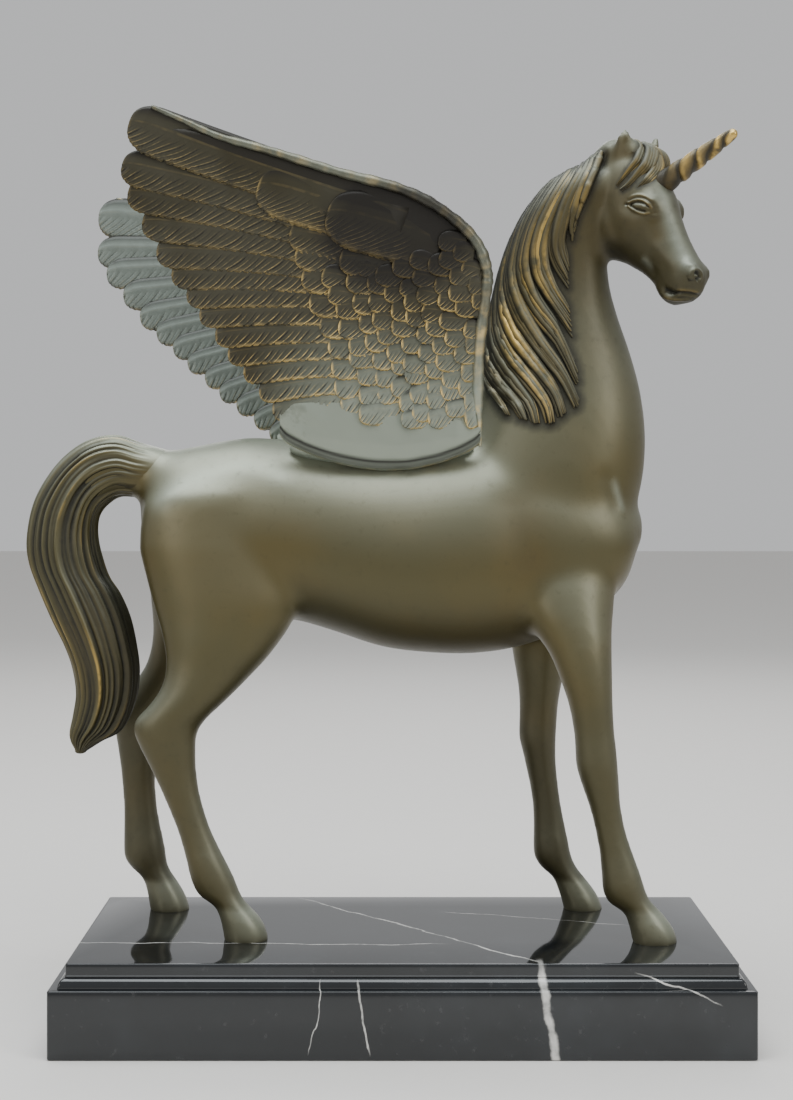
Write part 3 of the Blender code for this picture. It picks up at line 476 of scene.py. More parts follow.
NEAR_HIND_LEG = [
    (-129, 215, -60, 222, 19, -17, -17),
    (-131, 192, -51, 188, 21, -19, -18),
    (-124, 166, -52, 161, 20, -22, -21),
    (-119, 150, -63, 142, 17, -25, -24),
    (-116.5, 137, -76, 127.5, 14, -27, -26),
    (-118, 125, -86, 117.5, 12, -28.5, -28),
    (-124, 115.5, -93, 111, 10.8, -29, -29),
    (-131.5, 107.5, -98.5, 105, 10, -29, -29),
    (-132.3, 101.5, -101, 99, 9.6, -29, -29),
    (-129, 93.5, -101.2, 92, 9, -29, -29),
    (-124.2, 84, -101, 83, 8, -29, -29),
    (-118.5, 72, -99.5, 72, 7.2, -29, -29),
    (-114.2, 62, -97, 62.5, 6.9, -29, -29),
    (-110.8, 53.5, -94.2, 54, 6.9, -29, -29),
    (-108.3, 45.5, -90.6, 46, 7.3, -29, -29),
    (-106, 37, -86.6, 38, 8.4, -29, -29),
    (-103.8, 28, -82.3, 29.5, 8.6, -29, -29),
    (-100, 21, -78.6, 20.5, 7.9, -29.2, -29.2),
    (-92.5, 16, -74, 15, 7.7, -29.4, -29.4),
    (-90.2, 11.5, -69.3, 9.8, 8.9, -29.5, -29.5),
    (-88.4, 5, -66.4, 4.2, 9.6, -29.5, -29.5),
    (-87.4, -3, -64.9, -3, 9.8, -29.5, -29.5),
]
FAR_HIND_LEG = [
    (-131, 212, -66, 214, 19, 16, 16),
    (-132.5, 188, -60, 180, 21, 18, 18),
    (-130, 163, -70, 152, 19, 21, 21),
    (-129.5, 146, -84, 136, 15.5, 25, 24),
    (-133, 131, -98, 121.5, 12.5, 29, 28),
    (-140.5, 119, -109, 110, 11, 31.5, 31),
    (-149, 108, -119, 101, 10.5, 33, 33),
    (-150.8, 98, -124.5, 94, 10, 33.5, 33.5),
    (-149.8, 88, -127, 85, 9, 34, 34),
    (-148.2, 77, -128.8, 75, 7.9, 34, 34),
    (-147, 65, -129.1, 64, 7, 34, 34),
    (-146.3, 54, -128.3, 54, 6.9, 34, 34),
    (-146.3, 44, -126.7, 44, 7.3, 34, 34),
    (-146.3, 34, -124.5, 34, 8.4, 34, 34),
    (-145.9, 27, -123.5, 27, 8.6, 34, 34),
    (-142, 21.5, -122, 20.5, 7.9, 34, 34),
    (-136.6, 16.6, -118.5, 15.5, 7.7, 34, 34),
    (-134.2, 10.5, -114.8, 9.5, 8.9, 34, 34),
    (-133, 4.4, -112.2, 4, 9.6, 34, 34),
    (-132, -3, -110.4, -3, 9.8, 34, 34),
]
NEAR_FRONT_LEG = [
    (50, 200, 104, 196, 12, -14, -10),
    (53, 184, 108, 180, 16, -19, -16),
    (57, 169, 106, 166, 16.5, -23, -21),
    (64, 154, 104.4, 153, 15, -28, -26),
    (72.5, 141, 103.7, 143, 13.2, -31, -30),
    (78.2, 127, 103.6, 128, 12, -33, -32.5),
    (81.8, 116, 103.7, 116, 10.8, -34, -34),
    (84.3, 103, 104.4, 103, 9.6, -34.6, -34.6),
    (85, 93, 105.4, 93.5, 9.6, -35, -35),
    (85.5, 85.5, 106.2, 85, 9.9, -35, -35),
    (88, 77, 106.7, 76.5, 8.8, -35, -35),
    (90.6, 69.5, 107.2, 69.5, 7.6, -35, -35),
    (93.2, 61, 108.5, 60.5, 6.8, -35, -35),
    (95.2, 52, 110.6, 51.5, 6.7, -35, -35),
    (97, 42, 113.9, 42, 7.1, -35, -35),
    (97.8, 32.5, 117.3, 32.5, 8.3, -35, -35),
    (98.3, 25, 119.5, 25.5, 8.5, -35, -35),
    (101, 19, 122, 19.8, 7.9, -35, -35),
    (108.5, 14, 127.6, 14, 7.7, -35, -35),
    (110.8, 9, 131.6, 9, 8.9, -35, -35),
    (112.2, 3.6, 134.6, 3.6, 9.6, -35, -35),
    (113.4, -3, 135.4, -3, 9.8, -35, -35),
]
FAR_FRONT_LEG = [
    (48, 200, 102, 196, 12, 14, 10),
    (50, 184, 104, 180, 16, 19, 16),
    (52.5, 169, 102, 166, 17, 24, 22),
    (55.5, 153, 95.5, 153, 15, 28, 26),
    (58, 140, 90, 141, 13.2, 31, 30),
    (60.2, 127.5, 87, 128, 12, 33, 32.5),
    (61.9, 117.5, 85, 117.5, 10.8, 34, 34),
    (62.8, 107, 83.4, 107, 9.7, 35, 35),
    (62.6, 97, 82.7, 97, 9.6, 35.4, 35.4),
    (62.6, 89.5, 82.3, 89, 9.9, 35.6, 35.6),
    (64.6, 81.5, 82.2, 81, 8.8, 35.6, 35.6),
    (66.4, 73, 82.7, 72.5, 7.6, 35.6, 35.6),
    (68.3, 64, 83.7, 63.5, 6.9, 35.6, 35.6),
    (69.6, 54.5, 85.1, 54, 6.7, 35.6, 35.6),
    (70.1, 44, 87, 44, 7.1, 35.6, 35.6),
    (70, 34.5, 89, 34.5, 8.3, 35.6, 35.6),
    (70.5, 27, 90.4, 27.3, 8.5, 35.6, 35.6),
    (74.5, 21, 93, 21.5, 7.9, 35.6, 35.6),
    (80.4, 16, 97.7, 15.5, 7.7, 35.6, 35.6),
    (83, 9.5, 102, 10, 8.9, 35.6, 35.6),
    (85, 4, 105.3, 4.3, 9.6, 35.6, 35.6),
    (86.4, -3, 107.6, -3, 9.8, 35.6, 35.6),
]
TAIL = [
    (-106, 238, -116, 216, 11, 0, 0),
    (-120, 241.5, -126, 217.5, 13, 0, 0),
    (-132, 244.6, -135, 217.3, 13.5, 0, 0),
    (-144, 248.3, -143, 217.6, 14, 0, 0),
    (-157, 246.3, -149, 214.5, 14, 0, 0),
    (-168, 240, -153.3, 209.5, 14, 0, 0),
    (-178, 229.5, -155, 203, 14, 0, 0),
    (-186.5, 214.5, -154.8, 195, 14, 0, 0),
    (-190, 197, -153, 186.5, 14.5, 0, 0),
    (-189, 184, -149.7, 177, 14.5, 0, 0),
    (-184, 170, -144, 168, 14.5, 0, 0),
    (-177.4, 154.6, -138.8, 156, 14.3, 0, 0),
    (-171, 141.5, -135.4, 141.5, 13.8, 0, 0),
    (-166.8, 130, -133.8, 128, 13, 0, 0),
    (-164.8, 117, -135.8, 113, 12, 0, 0),
    (-166.3, 105.5, -142.5, 99, 10, 0, 0),
    (-168.2, 95, -152.5, 93, 7, 0, 0),
    (-166, 88.5, -160, 88, 3, 0, 0),
]
# Rows of the head in its own frame: how far down the face from the poll, height of the face line and of
# the jaw line above the line from poll to nose, and half width
HEAD = [
    (-8, 0, -29, 9),
    (-2, 4, -35, 12),
    (4, 5.5, -41, 14),
    (10, 5, -46, 15),
    (17, 4.5, -50, 15.3),
    (24, 4, -48, 15.3),
    (31, 2.5, -43.7, 14.3),
    (37, 0.3, -39, 12.5),
    (43.5, -1.5, -35.5, 11),
    (50.5, -3, -32.5, 9.6),
    (58, -4, -31, 8.8),
    (64.5, -4.5, -31, 8.8),
    (70, -5.5, -30.5, 8.6),
    (74, -8, -27.5, 7),
    (76.5, -11, -23.5, 4),
]
# Fleshy masses of the head: centre and radii, down the face, out of the face, and sideways
HEAD_MASSES = [
    (28.5, -7, -9.6, 8.5, 6, 4.6),
    (28.5, -6.2, 11.4, 8.2, 6.2, 4.9),
    (17, -33, -10, 15, 15, 6.5),
    (17, -33, 10, 15, 15, 6.5),
    (67.5, -11, -6, 6, 6, 2.8),
    (67.5, -11, 6, 6, 6, 2.8),
    (65, -27, 0, 9, 4.5, 6.6),
    (-2, 0.5, -3, 8, 5, 8),
    (-8, -14, -2, 10, 14, 10.5),
]
# Ears, right and left: base and tip
EARS = [
    ((1.0, -9.0, -8.0), (-10.5, 5.2, -9.5)),
    ((3.0, -8.0, 12.0), (-7.9, 7.2, 14.5)),
]
EAR_WIDTH = 4.9
EAR_FLATNESS = 0.6
# The way an ear's hollow faces: out of the face and sideways
EAR_FACES = (0.6, 0.8)

# Muscles: centre and radii; those with a positive y stand on both sides
MUSCLES = [
    (-98, 0, 208, 28, 28, 28),
    (84, 13, 196, 24, 20, 30),
    (60, 17, 205, 24, 17, 34),
    (-80, 19, 192, 34, 17, 36),
]

# Lines that part the mane's locks on the near side of the neck: x and z from the crest down to the tips
MANE_LOCKS = [
    [(100, 390), (97, 382), (93, 373), (89, 362), (86, 352)],
    [(96, 388), (91, 380), (84, 367), (79, 352), (78, 340), (83, 328)],
    [(94, 389), (86, 379), (77, 364), (70, 348), (69, 332), (75, 318), (84, 305)],
    [(90, 388), (79, 376), (69, 361), (63, 346), (61, 330), (67, 314), (77, 300), (87, 277)],
    [(86, 387), (72, 371), (62, 355), (57, 340), (55, 325), (60, 308), (70, 291), (80, 277), (87, 263)],
    [(77, 381), (64, 363), (55, 345), (52, 329), (51, 312), (56, 297), (66, 283), (75, 270), (79, 258)],
    [(68, 372), (57, 352), (51, 333), (49, 315), (50, 299), (56, 286), (65, 274), (72, 263), (74, 254)],
    [(60, 358), (52, 339), (48, 320), (46, 303), (48, 288), (55, 275), (63, 264), (66, 254)],
    [(51, 332), (47, 313), (44, 296), (44.5, 284), (50, 273), (57, 264), (61, 256)],
    [(46, 305), (43, 290), (42, 279), (45, 269), (51, 259)],
]
# Forelock, in the head's frame: down the face, out of it, sideways
FORELOCKS = [
    [(-3, 4, 1), (2.5, 7, 0), (10, 4, -6), (13, -1.8, -10), (15, -7.7, -13.3), (14.7, -12, -15)],
    [(-6, 3, -1), (-1, 4.6, -1), (5.8, 1.8, -7.5), (9, -4.5, -12), (11.5, -12.4, -15)],
    [(-2, 6, 3), (3.5, 7, 2), (12.3, 5, -1), (17.7, 0.5, -9), (19, -5, -11.5)],
    [(-3, 5, 3), (4, 8, 5), (11, 6.5, 6), (16, 4, 6.5)],
]

HORSE_AT = np.array([0.0, HORSE_Y, BASE_TOP + SEAT_GAP])
# Cell of the skin that the shapes grow together into, before and after the head is joined
BODY_VOXEL, HORSE_VOXEL = 1.5, 1.66
# Rounds of smoothing: the trunk, then with the legs, then with the head, and in spots that need more
TRUNK_ROUNDS, LEG_ROUNDS, HEAD_ROUNDS, SPOT_ROUNDS = 50, 10, 5, 60


def through(rows, steps):
    """Catmull-Rom curve through the rows, with this many steps to each span."""
    rows = np.array(rows, float)
    padded = np.vstack([2 * rows[0] - rows[1], rows, 2 * rows[-1] - rows[-2]])
    t = (np.arange(steps) / steps)[:, None]
    out = [
        0.5 * (2 * b + (c - a) * t + (2 * a - 5 * b + 4 * c - d) * t**2 + (3 * b - a - 3 * c + d) * t**3)
        for a, b, c, d in zip(padded, padded[1:], padded[2:], padded[3:])
    ]
    return np.vstack([*out, rows[-1:]])


def fade(value, start, run):
    """0 up to the start, and 1 from a run past it on; a run below 0 goes the other way."""
    return np.clip((value - start) / run, 0, 1)


def unit(vectors):
    vectors = np.asarray(vectors, float)
    return vectors / np.maximum(np.linalg.norm(vectors, axis=-1, keepdims=True), 1e-9)


def rounded_ends(rings, first, last):
    """Adds shrinking rings before the first and after the last, so that an end is a dome."""
    rings = list(rings)
    for start, bulge in ((True, first), (False, last)):
        if not bulge:
            continue
        edge, inner = (rings[0], rings[1]) if start else (rings[-1], rings[-2])
        middle = edge.mean(axis=0)
        outward = unit(middle - inner.mean(axis=0))
        for turn in np.radians((30, 55, 75)):
            ring = middle + (edge - middle) * math.cos(turn) + outward * bulge * math.sin(turn)
            rings.insert(0 if start else len(rings), ring)
    return rings


def loft(rows, around=48, steps=5, egg=0.0, first=0.0, last=0.0):
    """A body part through rows of two outline points and a half width; egg widens the first side."""
    rows = through(rows, steps)
    one, two = rows[:, [0, 5, 1]], rows[:, [2, 6, 3]]
    middle, up = (one + two) / 2, (one - two) / 2
    side = unit(np.cross(unit(np.gradient(middle, axis=0)), up))
    turns = turns_of(around)
    rings = [
        m + u * np.cos(turns)[:, None] + s * (w * np.sin(turns) * (1 + egg * np.cos(turns)))[:, None]
        for m, u, s, w in zip(middle, up, side, rows[:, 4])
    ]
    return (*wrap(rounded_ends(rings, first, last)), {})


def ball(middle, radii, axes=np.eye(3), around=32):
    """An ellipsoid; its radii lie along the axes."""
    rise = np.linspace(-math.pi / 2, math.pi / 2, around // 2 + 1)[1:-1]
    points, faces = wrap([circle(math.cos(r), math.sin(r), around=around) for r in rise])
    return points * radii @ axes + middle, faces, {}


def strand(path, radii, side, flat, around, marks=None):
    """A tapering lock along a path; flat under 1 thins it in the side direction."""
    path = np.asarray(path, float)
    along = unit(np.gradient(path, axis=0))
    thin = unit(np.broadcast_to(side, path.shape) - along * (along * side).sum(-1, keepdims=True))
    wide = np.cross(along, thin)
    turns = turns_of(around)
    rings = [
        p + (w * np.cos(turns)[:, None] + t * np.sin(turns)[:, None] * flat) * r
        for p, w, t, r in zip(path, wide, thin, radii)
    ]
    return (*wrap(rounded_ends(rings, radii[0] * 0.7, radii[-1] * 0.7)), marks or {})


TURN, BOW = math.radians(HEAD_TURN), math.radians(HEAD_BOW)
DOWN_FACE = np.array([math.cos(TURN) * math.cos(BOW), -math.sin(TURN) * math.cos(BOW), -math.sin(BOW)])
OUT_OF_FACE = np.array([math.cos(TURN) * math.sin(BOW), -math.sin(TURN) * math.sin(BOW), math.cos(BOW)])
TO_LEFT = np.array([math.sin(TURN), math.cos(TURN), 0.0])
HEAD_AXES = np.array([DOWN_FACE, OUT_OF_FACE, TO_LEFT])


def on_head(points):
    return np.array(POLL) + np.asarray(points, float) @ HEAD_AXES


def head_shapes():
    around = 48
    turns = turns_of(around)
    rings = []
    for down, face, jaw, half in through(HEAD, 5):
        out = (face + jaw) / 2 + (face - jaw) / 2 * np.cos(turns)
        side = half * np.sin(turns) * (1 + 0.12 * np.cos(turns))
        rings.append(on_head(np.column_stack([np.full(around, down), out, side])))
    shapes = [(*wrap(rounded_ends(rings, 4, 2)), {})]
    for down, out, side, *radii in HEAD_MASSES:
        shapes.append(ball(on_head((down, out, side)), radii, HEAD_AXES))
    for base, tip in EARS:
        t = np.linspace(-0.25, 1, 17)[:, None]
        path = on_head(np.array(base) + (np.array(tip) - base) * t)
        radii = EAR_WIDTH * np.interp(t[:, 0], (-0.25, 0.3, 0.8, 1), (0.8, 1, 0.82, 0.4))
        faces = EAR_FACES[0] * OUT_OF_FACE + math.copysign(EAR_FACES[1], base[2]) * TO_LEFT
        shapes.append(strand(path, radii, faces, EAR_FLATNESS, 24))
    return shapes


LEGS = (NEAR_HIND_LEG, FAR_HIND_LEG, NEAR_FRONT_LEG, FAR_FRONT_LEG)
# The trunk takes the rows of the legs and of the tail that start above these heights
LEG_ROOT_HEIGHT, TAIL_ROOT_HEIGHT = 130.0, 235.0


def trunk_shapes():
    shapes = [loft(TORSO, egg=-0.08, first=3, last=4), loft(NECK, egg=-0.12, first=4, last=6)]
    shapes += [loft([row for row in leg if row[1] > LEG_ROOT_HEIGHT], first=6, last=6) for leg in LEGS]
    shapes += [loft([row for row in TAIL if row[1] > TAIL_ROOT_HEIGHT], first=4, last=6)]
    for x, y, z, *radii in MUSCLES:
        shapes += [ball((x, y * way, z), radii) for way in ((-1, 1) if y else (0,))]
    return shapes


def cast(name, shapes, voxel, smoothing):
    """The shapes grown together into one skin."""
    thing = make(name, shapes, None)
    cells = thing.modifiers.new("cast in one", "REMESH")
    cells.mode = "VOXEL"
    cells.voxel_size = voxel * MM
    cells.use_smooth_shade = True
    soft = thing.modifiers.new("soften", "SMOOTH")
    soft.factor = 0.5
    soft.iterations = smoothing
    return freeze(thing)


def shape_of(thing):
    """The object's mesh as a shape."""
    points = np.empty(len(thing.data.vertices) * 3)
    thing.data.vertices.foreach_get("co", points)
    return points.reshape(-1, 3) / MM, [list(face.vertices) for face in thing.data.polygons], {}


def drop(thing):
    bpy.data.objects.remove(thing, do_unlink=True)


def finer(thing, spots):
    """Splits the faces within each spot, a middle and a reach, once."""
    bm = bmesh.new()
    bm.from_mesh(thing.data)
    for middle, reach in spots:
        middle = Vector(middle) * MM
        near = {v for v in bm.verts if (v.co - middle).length < reach * MM}
        edges = [e for e in bm.edges if e.verts[0] in near and e.verts[1] in near]
        bmesh.ops.subdivide_edges(bm, edges=edges, cuts=1, use_grid_fill=True, smooth=0.6)
    bmesh.ops.triangulate(bm, faces=[f for f in bm.faces if len(f.verts) > 4])
    bm.to_mesh(thing.data)
    bm.free()


def soften(thing, spots, rounds):
    """Smooths the skin within each spot, a middle and a reach, and fades out towards the spot's edge."""
    points = shape_of(thing)[0]
    share = np.zeros(len(points))
    for middle, reach in spots:
        far = np.linalg.norm(points - middle, axis=1) / reach
        share = np.maximum(share, np.clip(1.6 - 1.6 * far, 0, 1))
    group = thing.vertex_groups.new(name="soft")
    for index in np.flatnonzero(share):
        group.add([int(index)], float(share[index]), "REPLACE")
    soft = thing.modifiers.new("soften", "SMOOTH")
    soft.factor = 0.5
    soft.iterations = rounds
    soft.vertex_group = "soft"
    freeze(thing)
    thing.vertex_groups.clear()


class Wax:
    """The horse's skin as arrays, into which folds and lines are pressed before it is cast."""

    def __init__(self, thing):
        self.thing = thing
        self.points = shape_of(thing)[0]
        self.tree = BVHTree.FromObject(thing, bpy.context.evaluated_depsgraph_get())
        normals = np.empty(len(self.points) * 3)
        thing.data.vertices.foreach_get("normal", normals)
        self.normals = normals.reshape(-1, 3)
        self.move = np.zeros(len(self.points))
        # Marks, in order: painted shade and darker tone, gold wear, painted highlights and paler hooves, and
        # a browner tone
        self.marks = {name: np.zeros(len(self.points)) for name in ("shade", "rub", "haze", "warm")}

    def seen(self, pixels):
        """Where the camera's sight through each pixel meets the skin."""
        hits = []
        for pixel in pixels:
            hit = self.tree.ray_cast(Vector(CAMERA_AT * MM), Vector(sight(pixel)).normalized())[0]
            if hit is not None:
                hits.append(np.array(hit) / MM)
        return np.array(hits)

    def stroke(self, path, width, depth, ends, **marks):
        """Raises the skin along a path, or presses it in where depth is below 0, and marks it."""
        path = np.asarray(path, float)
        reach = 2.6 * width
        inside = (self.points > path.min(0) - reach) & (self.points < path.max(0) + reach)
        index = np.flatnonzero(inside.all(1))
        own = self.points[index]
        best, share = np.full(len(own), np.inf), np.zeros(len(own))
        for i, (a, b) in enumerate(zip(path, path[1:])):
            span = b - a
            t = np.clip((own - a) @ span / max(span @ span, 1e-9), 0, 1)
            far = np.linalg.norm(own - a - t[:, None] * span, axis=1)
            closer = far < best
            best[closer], share[closer] = far[closer], (i + t[closer]) / (len(path) - 1)
        fade = np.clip(np.minimum(share, 1 - share) / max(ends, 1e-6), 0, 1) ** 0.7 if ends else 1.0
        amount = np.exp(-((best / width) ** 2)) * fade
        self.move[index] += depth * amount
        for name, most in marks.items():
            self.marks[name][index] = np.maximum(self.marks[name][index], most * amount)

    def line(self, pixels, width, depth, ends, steps=3, **marks):
        """A stroke where the camera sees the curve through these pixels, with this many steps to a span."""
        self.stroke(self.seen(through(pixels, steps)), width, depth, ends, **marks)

    def press(self):
        """Moves the skin by what the strokes ask for, and takes its new normals."""
        self.points = self.points + self.normals * self.move[:, None]
        self.thing.data.vertices.foreach_set("co", (self.points * MM).ravel())
        self.thing.data.update()
        for name, values in self.marks.items():
            layer = self.thing.data.attributes.new(name, "FLOAT", "POINT")
            layer.data.foreach_set("value", values.astype(np.float32))


trunk = cast("trunk", trunk_shapes(), BODY_VOXEL, TRUNK_ROUNDS)
core = cast("core", [shape_of(trunk), *(loft(leg[1:]) for leg in LEGS)], BODY_VOXEL, LEG_ROUNDS)
horse = cast("bronze_horse", [shape_of(core), *head_shapes()], HORSE_VOXEL, HEAD_ROUNDS)
drop(trunk)
drop(core)
# Spots that are smoothed more: the throat, in the head's frame, and the flanks, each with its reach
THROAT = (
    (-11, -16, -12), (0, -24, -13), (8, -32, -13), (16, -40, -11), (28, -41, -9), (-9, -16, 13), (0, -24, 14),
)
THROAT_REACH = 12
FLANKS = (
    (96, 26, 234, 30), (72, 32, 236, 26), (-96, 24, 222, 32), (-118, 12, 230, 22), (108, 20, 208, 20),
)
soften(horse, [(on_head(place), THROAT_REACH) for place in THROAT], SPOT_ROUNDS)
soften(horse, [((x, y * way, z), reach) for x, y, z, reach in FLANKS for way in (-1, 1)], SPOT_ROUNDS)
horse.data.transform(Matrix.Translation(HORSE_AT * MM))
# The skin is made finer twice round the features of the face, each with a reach
NEAR_EYE_PX, NEAR_NOSTRIL_PX, LIPS_PX = (640, 206), (695, 277), (680, 296)
FAR_EYE = (28.5, -9.0, 14.8)
features = [*Wax(horse).seen((NEAR_EYE_PX, NEAR_NOSTRIL_PX, LIPS_PX)), on_head(FAR_EYE) + HORSE_AT]
for reaches in ((12, 8, 13, 11), (10, 6, 11, 9)):
    finer(horse, list(zip(features, reaches)))
skin = Wax(horse)

# Eye: an almond between two lids, with a fold over the upper one and a hollow before its inner corner
EYE_SOCKET_PX = ((629, 205), (648, 208))
EYEBALL_PX = ((636, 206), (644, 207.5))
EYE_UPPER_PX = ((626, 204), (631, 201), (637, 199.5), (643, 200.5), (648, 204), (652, 209))
EYE_LOWER_PX = ((626, 204), (631, 208.5), (637, 212), (644, 214), (650, 213))
EYE_FOLD_PX = ((627, 199), (633, 196), (640, 195), (647, 197), (653, 201))
EYE_CORNER_PX = ((625, 204), (630, 204.5))
INNER_HOLLOW_PX = ((650, 203), (655, 209), (656, 216))


def below(pixels, down, cut=0):
    """The curve through the pixels moved down, with as many of its points cut off at both ends."""
    curve = through(pixels, 3)
    return [(x, y + down) for x, y in curve[cut : len(curve) - cut]]


skin.line(EYE_SOCKET_PX, 4.2, -1.0, 0, 1, shade=0.35)
skin.line(EYEBALL_PX, 2.3, 1.5, 0, 1)
skin.line(EYE_UPPER_PX, 0.75, 0.85, 0.1, rub=0.12)
skin.line(EYE_LOWER_PX, 0.65, 0.6, 0.1, rub=0.15)
skin.line(EYE_FOLD_PX, 0.8, 0.4, 0.2, rub=0.08)
skin.line(below(EYE_UPPER_PX, 2.6, 2), 0.55, -0.7, 0.1, 1, shade=0.9)
skin.line(below(EYE_LOWER_PX, -2.4, 2), 0.5, -0.55, 0.1, 1, shade=0.9)
skin.line(below(EYE_FOLD_PX, 2.4), 0.5, -0.4, 0.1, 1, shade=0.8)
skin.line(EYE_CORNER_PX, 0.6, -0.7, 0, 1, shade=0.9)
skin.line(INNER_HOLLOW_PX, 2.2, -0.6, 0.2, 1, shade=0.55, warm=0.8)

# Nostril, mouth, jaw and cheek. The jaw's edge is painted paler, as a painted highlight, and the cheek's rear
# edge darker, as painted shadow
NOSTRIL_RING_PX = ((691, 281), (690, 276), (692, 271.5), (697, 270), (701, 273), (701, 278), (698, 282))
NOSTRIL_HOLE_PX = ((694, 272.5), (698, 273.5), (699, 277), (696, 280.5))
NOSTRIL_FOLD_PX = ((696, 275), (697, 277))
MOUTH_PX = ((664, 291), (670, 294.5), (680, 293), (690, 293.5), (699, 296))
MOUTH_CORNER_PX = ((666, 291), (671, 293))
UPPER_LIP_PX = ((676, 290.5), (685, 290.5), (694, 292), (702, 293.5))
LOWER_LIP_PX = ((663, 297), (672, 299.5), (682, 300), (692, 299.5))
JAW_HOLLOW_PX = ((645, 258), (652, 270), (657, 280))
JAW_EDGE_PX = ((641, 257), (646, 262), (652, 270))
CHEEKBONE_PX = ((652, 243), (662, 254), (672, 264), (678, 268))
TEAR_BONE_PX = ((655, 215), (658, 224), (661, 234), (665, 243))
CHEEK_PX = ((592, 205), (594, 225), (601, 241), (610, 252), (622, 257.5))
skin.line(NOSTRIL_RING_PX, 1.2, 0.7, 0.1)
skin.line(NOSTRIL_HOLE_PX, 1.2, -1.6, 0.1, shade=1.0)
skin.line(NOSTRIL_FOLD_PX, 0.9, 0.9, 0, 1)
skin.line(MOUTH_PX, 1.0, -1.3, 0.15, shade=1.0)
skin.line(MOUTH_CORNER_PX, 1.8, -1.3, 0, 1, shade=1.0)
skin.line(UPPER_LIP_PX, 0.9, 0.5, 0.2, rub=0.15)
skin.line(LOWER_LIP_PX, 0.9, 0.6, 0.2, rub=0.2)
skin.line(JAW_HOLLOW_PX, 3.0, -1.0, 0.3, 1, shade=0.3)
skin.line(JAW_EDGE_PX, 2.0, 0.7, 0.3, 1, haze=0.4)
skin.line(CHEEKBONE_PX, 3.0, 0.6, 0.3, 1)
skin.line(TEAR_BONE_PX, 3.6, -0.5, 0.3, 1, warm=1.0)
skin.line(CHEEK_PX, 5.0, -0.9, 0, shade=0.45)

# Body: the arc over the hip, the hollow behind the shoulder, the fold at the chest, the light along the face
# and the ear's hollow. The arc over the hip and the fold at the chest are also painted paler, as painted
# highlights.
HIP_PX = ((160, 505), (168, 494), (184, 484), (208, 476), (240, 470), (262, 471), (280, 478))
HOLLOW_PX = ((518, 508), (522, 535), (528, 562))
CHEST_PX = ((613, 478), (616, 490), (620, 503), (624, 514))
CHEST_HOLLOW_PX = ((606, 478), (610, 492), (615, 506))
FACE_PX = ((664, 196), (668, 212), (673, 230), (680, 250), (688, 264))
EAR_HOLLOW_PX = ((607, 150), (604, 160), (601, 170))
skin.line(HIP_PX, 6.5, 0.5, 0, haze=0.22)
skin.line(HOLLOW_PX, 12.0, -1.5, 0, 1, warm=1.0, shade=0.2)
skin.line(CHEST_PX, 2.2, 0.45, 0.3, haze=0.4)
skin.line(CHEST_HOLLOW_PX, 4.0, -0.4, 0, shade=0.1)
skin.line(FACE_PX, 4.0, 0.2, 0, haze=0.5)
skin.line(EAR_HOLLOW_PX, 1.6, -1.3, 0.3, 1, shade=0.95)

# Short hair of the crest between the mane and the ear, over a broad painted shade: one path, shifted by as
# many pixels for each strand
CREST_PX = ((594, 147), (588, 160), (584, 176))
CREST_STRANDS = (-5, 0, 5, 10)
skin.line(CREST_PX, 8.0, 0.0, 0, shade=0.62)
for shift in CREST_STRANDS:
    skin.line([(x + shift, y) for x, y in CREST_PX], 1.2, -1.0, 0.3, shade=0.9)

# The head, the neck and the legs are darker than the body, and the hooves paler; the far legs take twice the
# legs' darkness, as painted shade. Each has its strength, the height at which it starts, and the run over
# which it grows.
HEAD_SHADE, HEAD_FOOT, HEAD_RUN = 0.42, 280.0, 40.0
# The head's shade also starts at a place down the face
HEAD_BACK, HEAD_BACK_RUN = -18.0, 26.0
NECK_SHADE, NECK_FOOT, NECK_RUN = 0.34, 250.0, 50.0
LEG_SHADE, LEG_TOP, LEG_RUN = 0.2, 150.0, -60.0
# The far legs take twice the darkness, as painted shade
FAR_LEG_FACTOR = 2.0
HOOF_HAZE, HOOF_TOP, HOOF_RUN = 0.2, 17.0, -3.0
HOOF_SHADE_CUT = 0.8
own = skin.points - HORSE_AT
up = own[:, 2]
head_share = fade((own - POLL) @ DOWN_FACE, HEAD_BACK, HEAD_BACK_RUN) * fade(up, HEAD_FOOT, HEAD_RUN)
neck_share = fade(up, NECK_FOOT, NECK_RUN)
leg_share = fade(up, LEG_TOP, LEG_RUN) * np.where(own[:, 1] > 0, FAR_LEG_FACTOR, 1.0)
hoof_share = fade(up, HOOF_TOP, HOOF_RUN)
for share in (HEAD_SHADE * head_share, NECK_SHADE * neck_share, LEG_SHADE * leg_share):
    skin.marks["shade"] = np.maximum(skin.marks["shade"], share)
skin.marks["shade"] = skin.marks["shade"] * (1 - HOOF_SHADE_CUT * hoof_share)
skin.marks["haze"] = np.maximum(skin.marks["haze"], HOOF_HAZE * hoof_share)
skin.press()


GOLD = (0.62, 0.42, 0.12)
NEARLY_BLACK = (0.011, 0.011, 0.008)


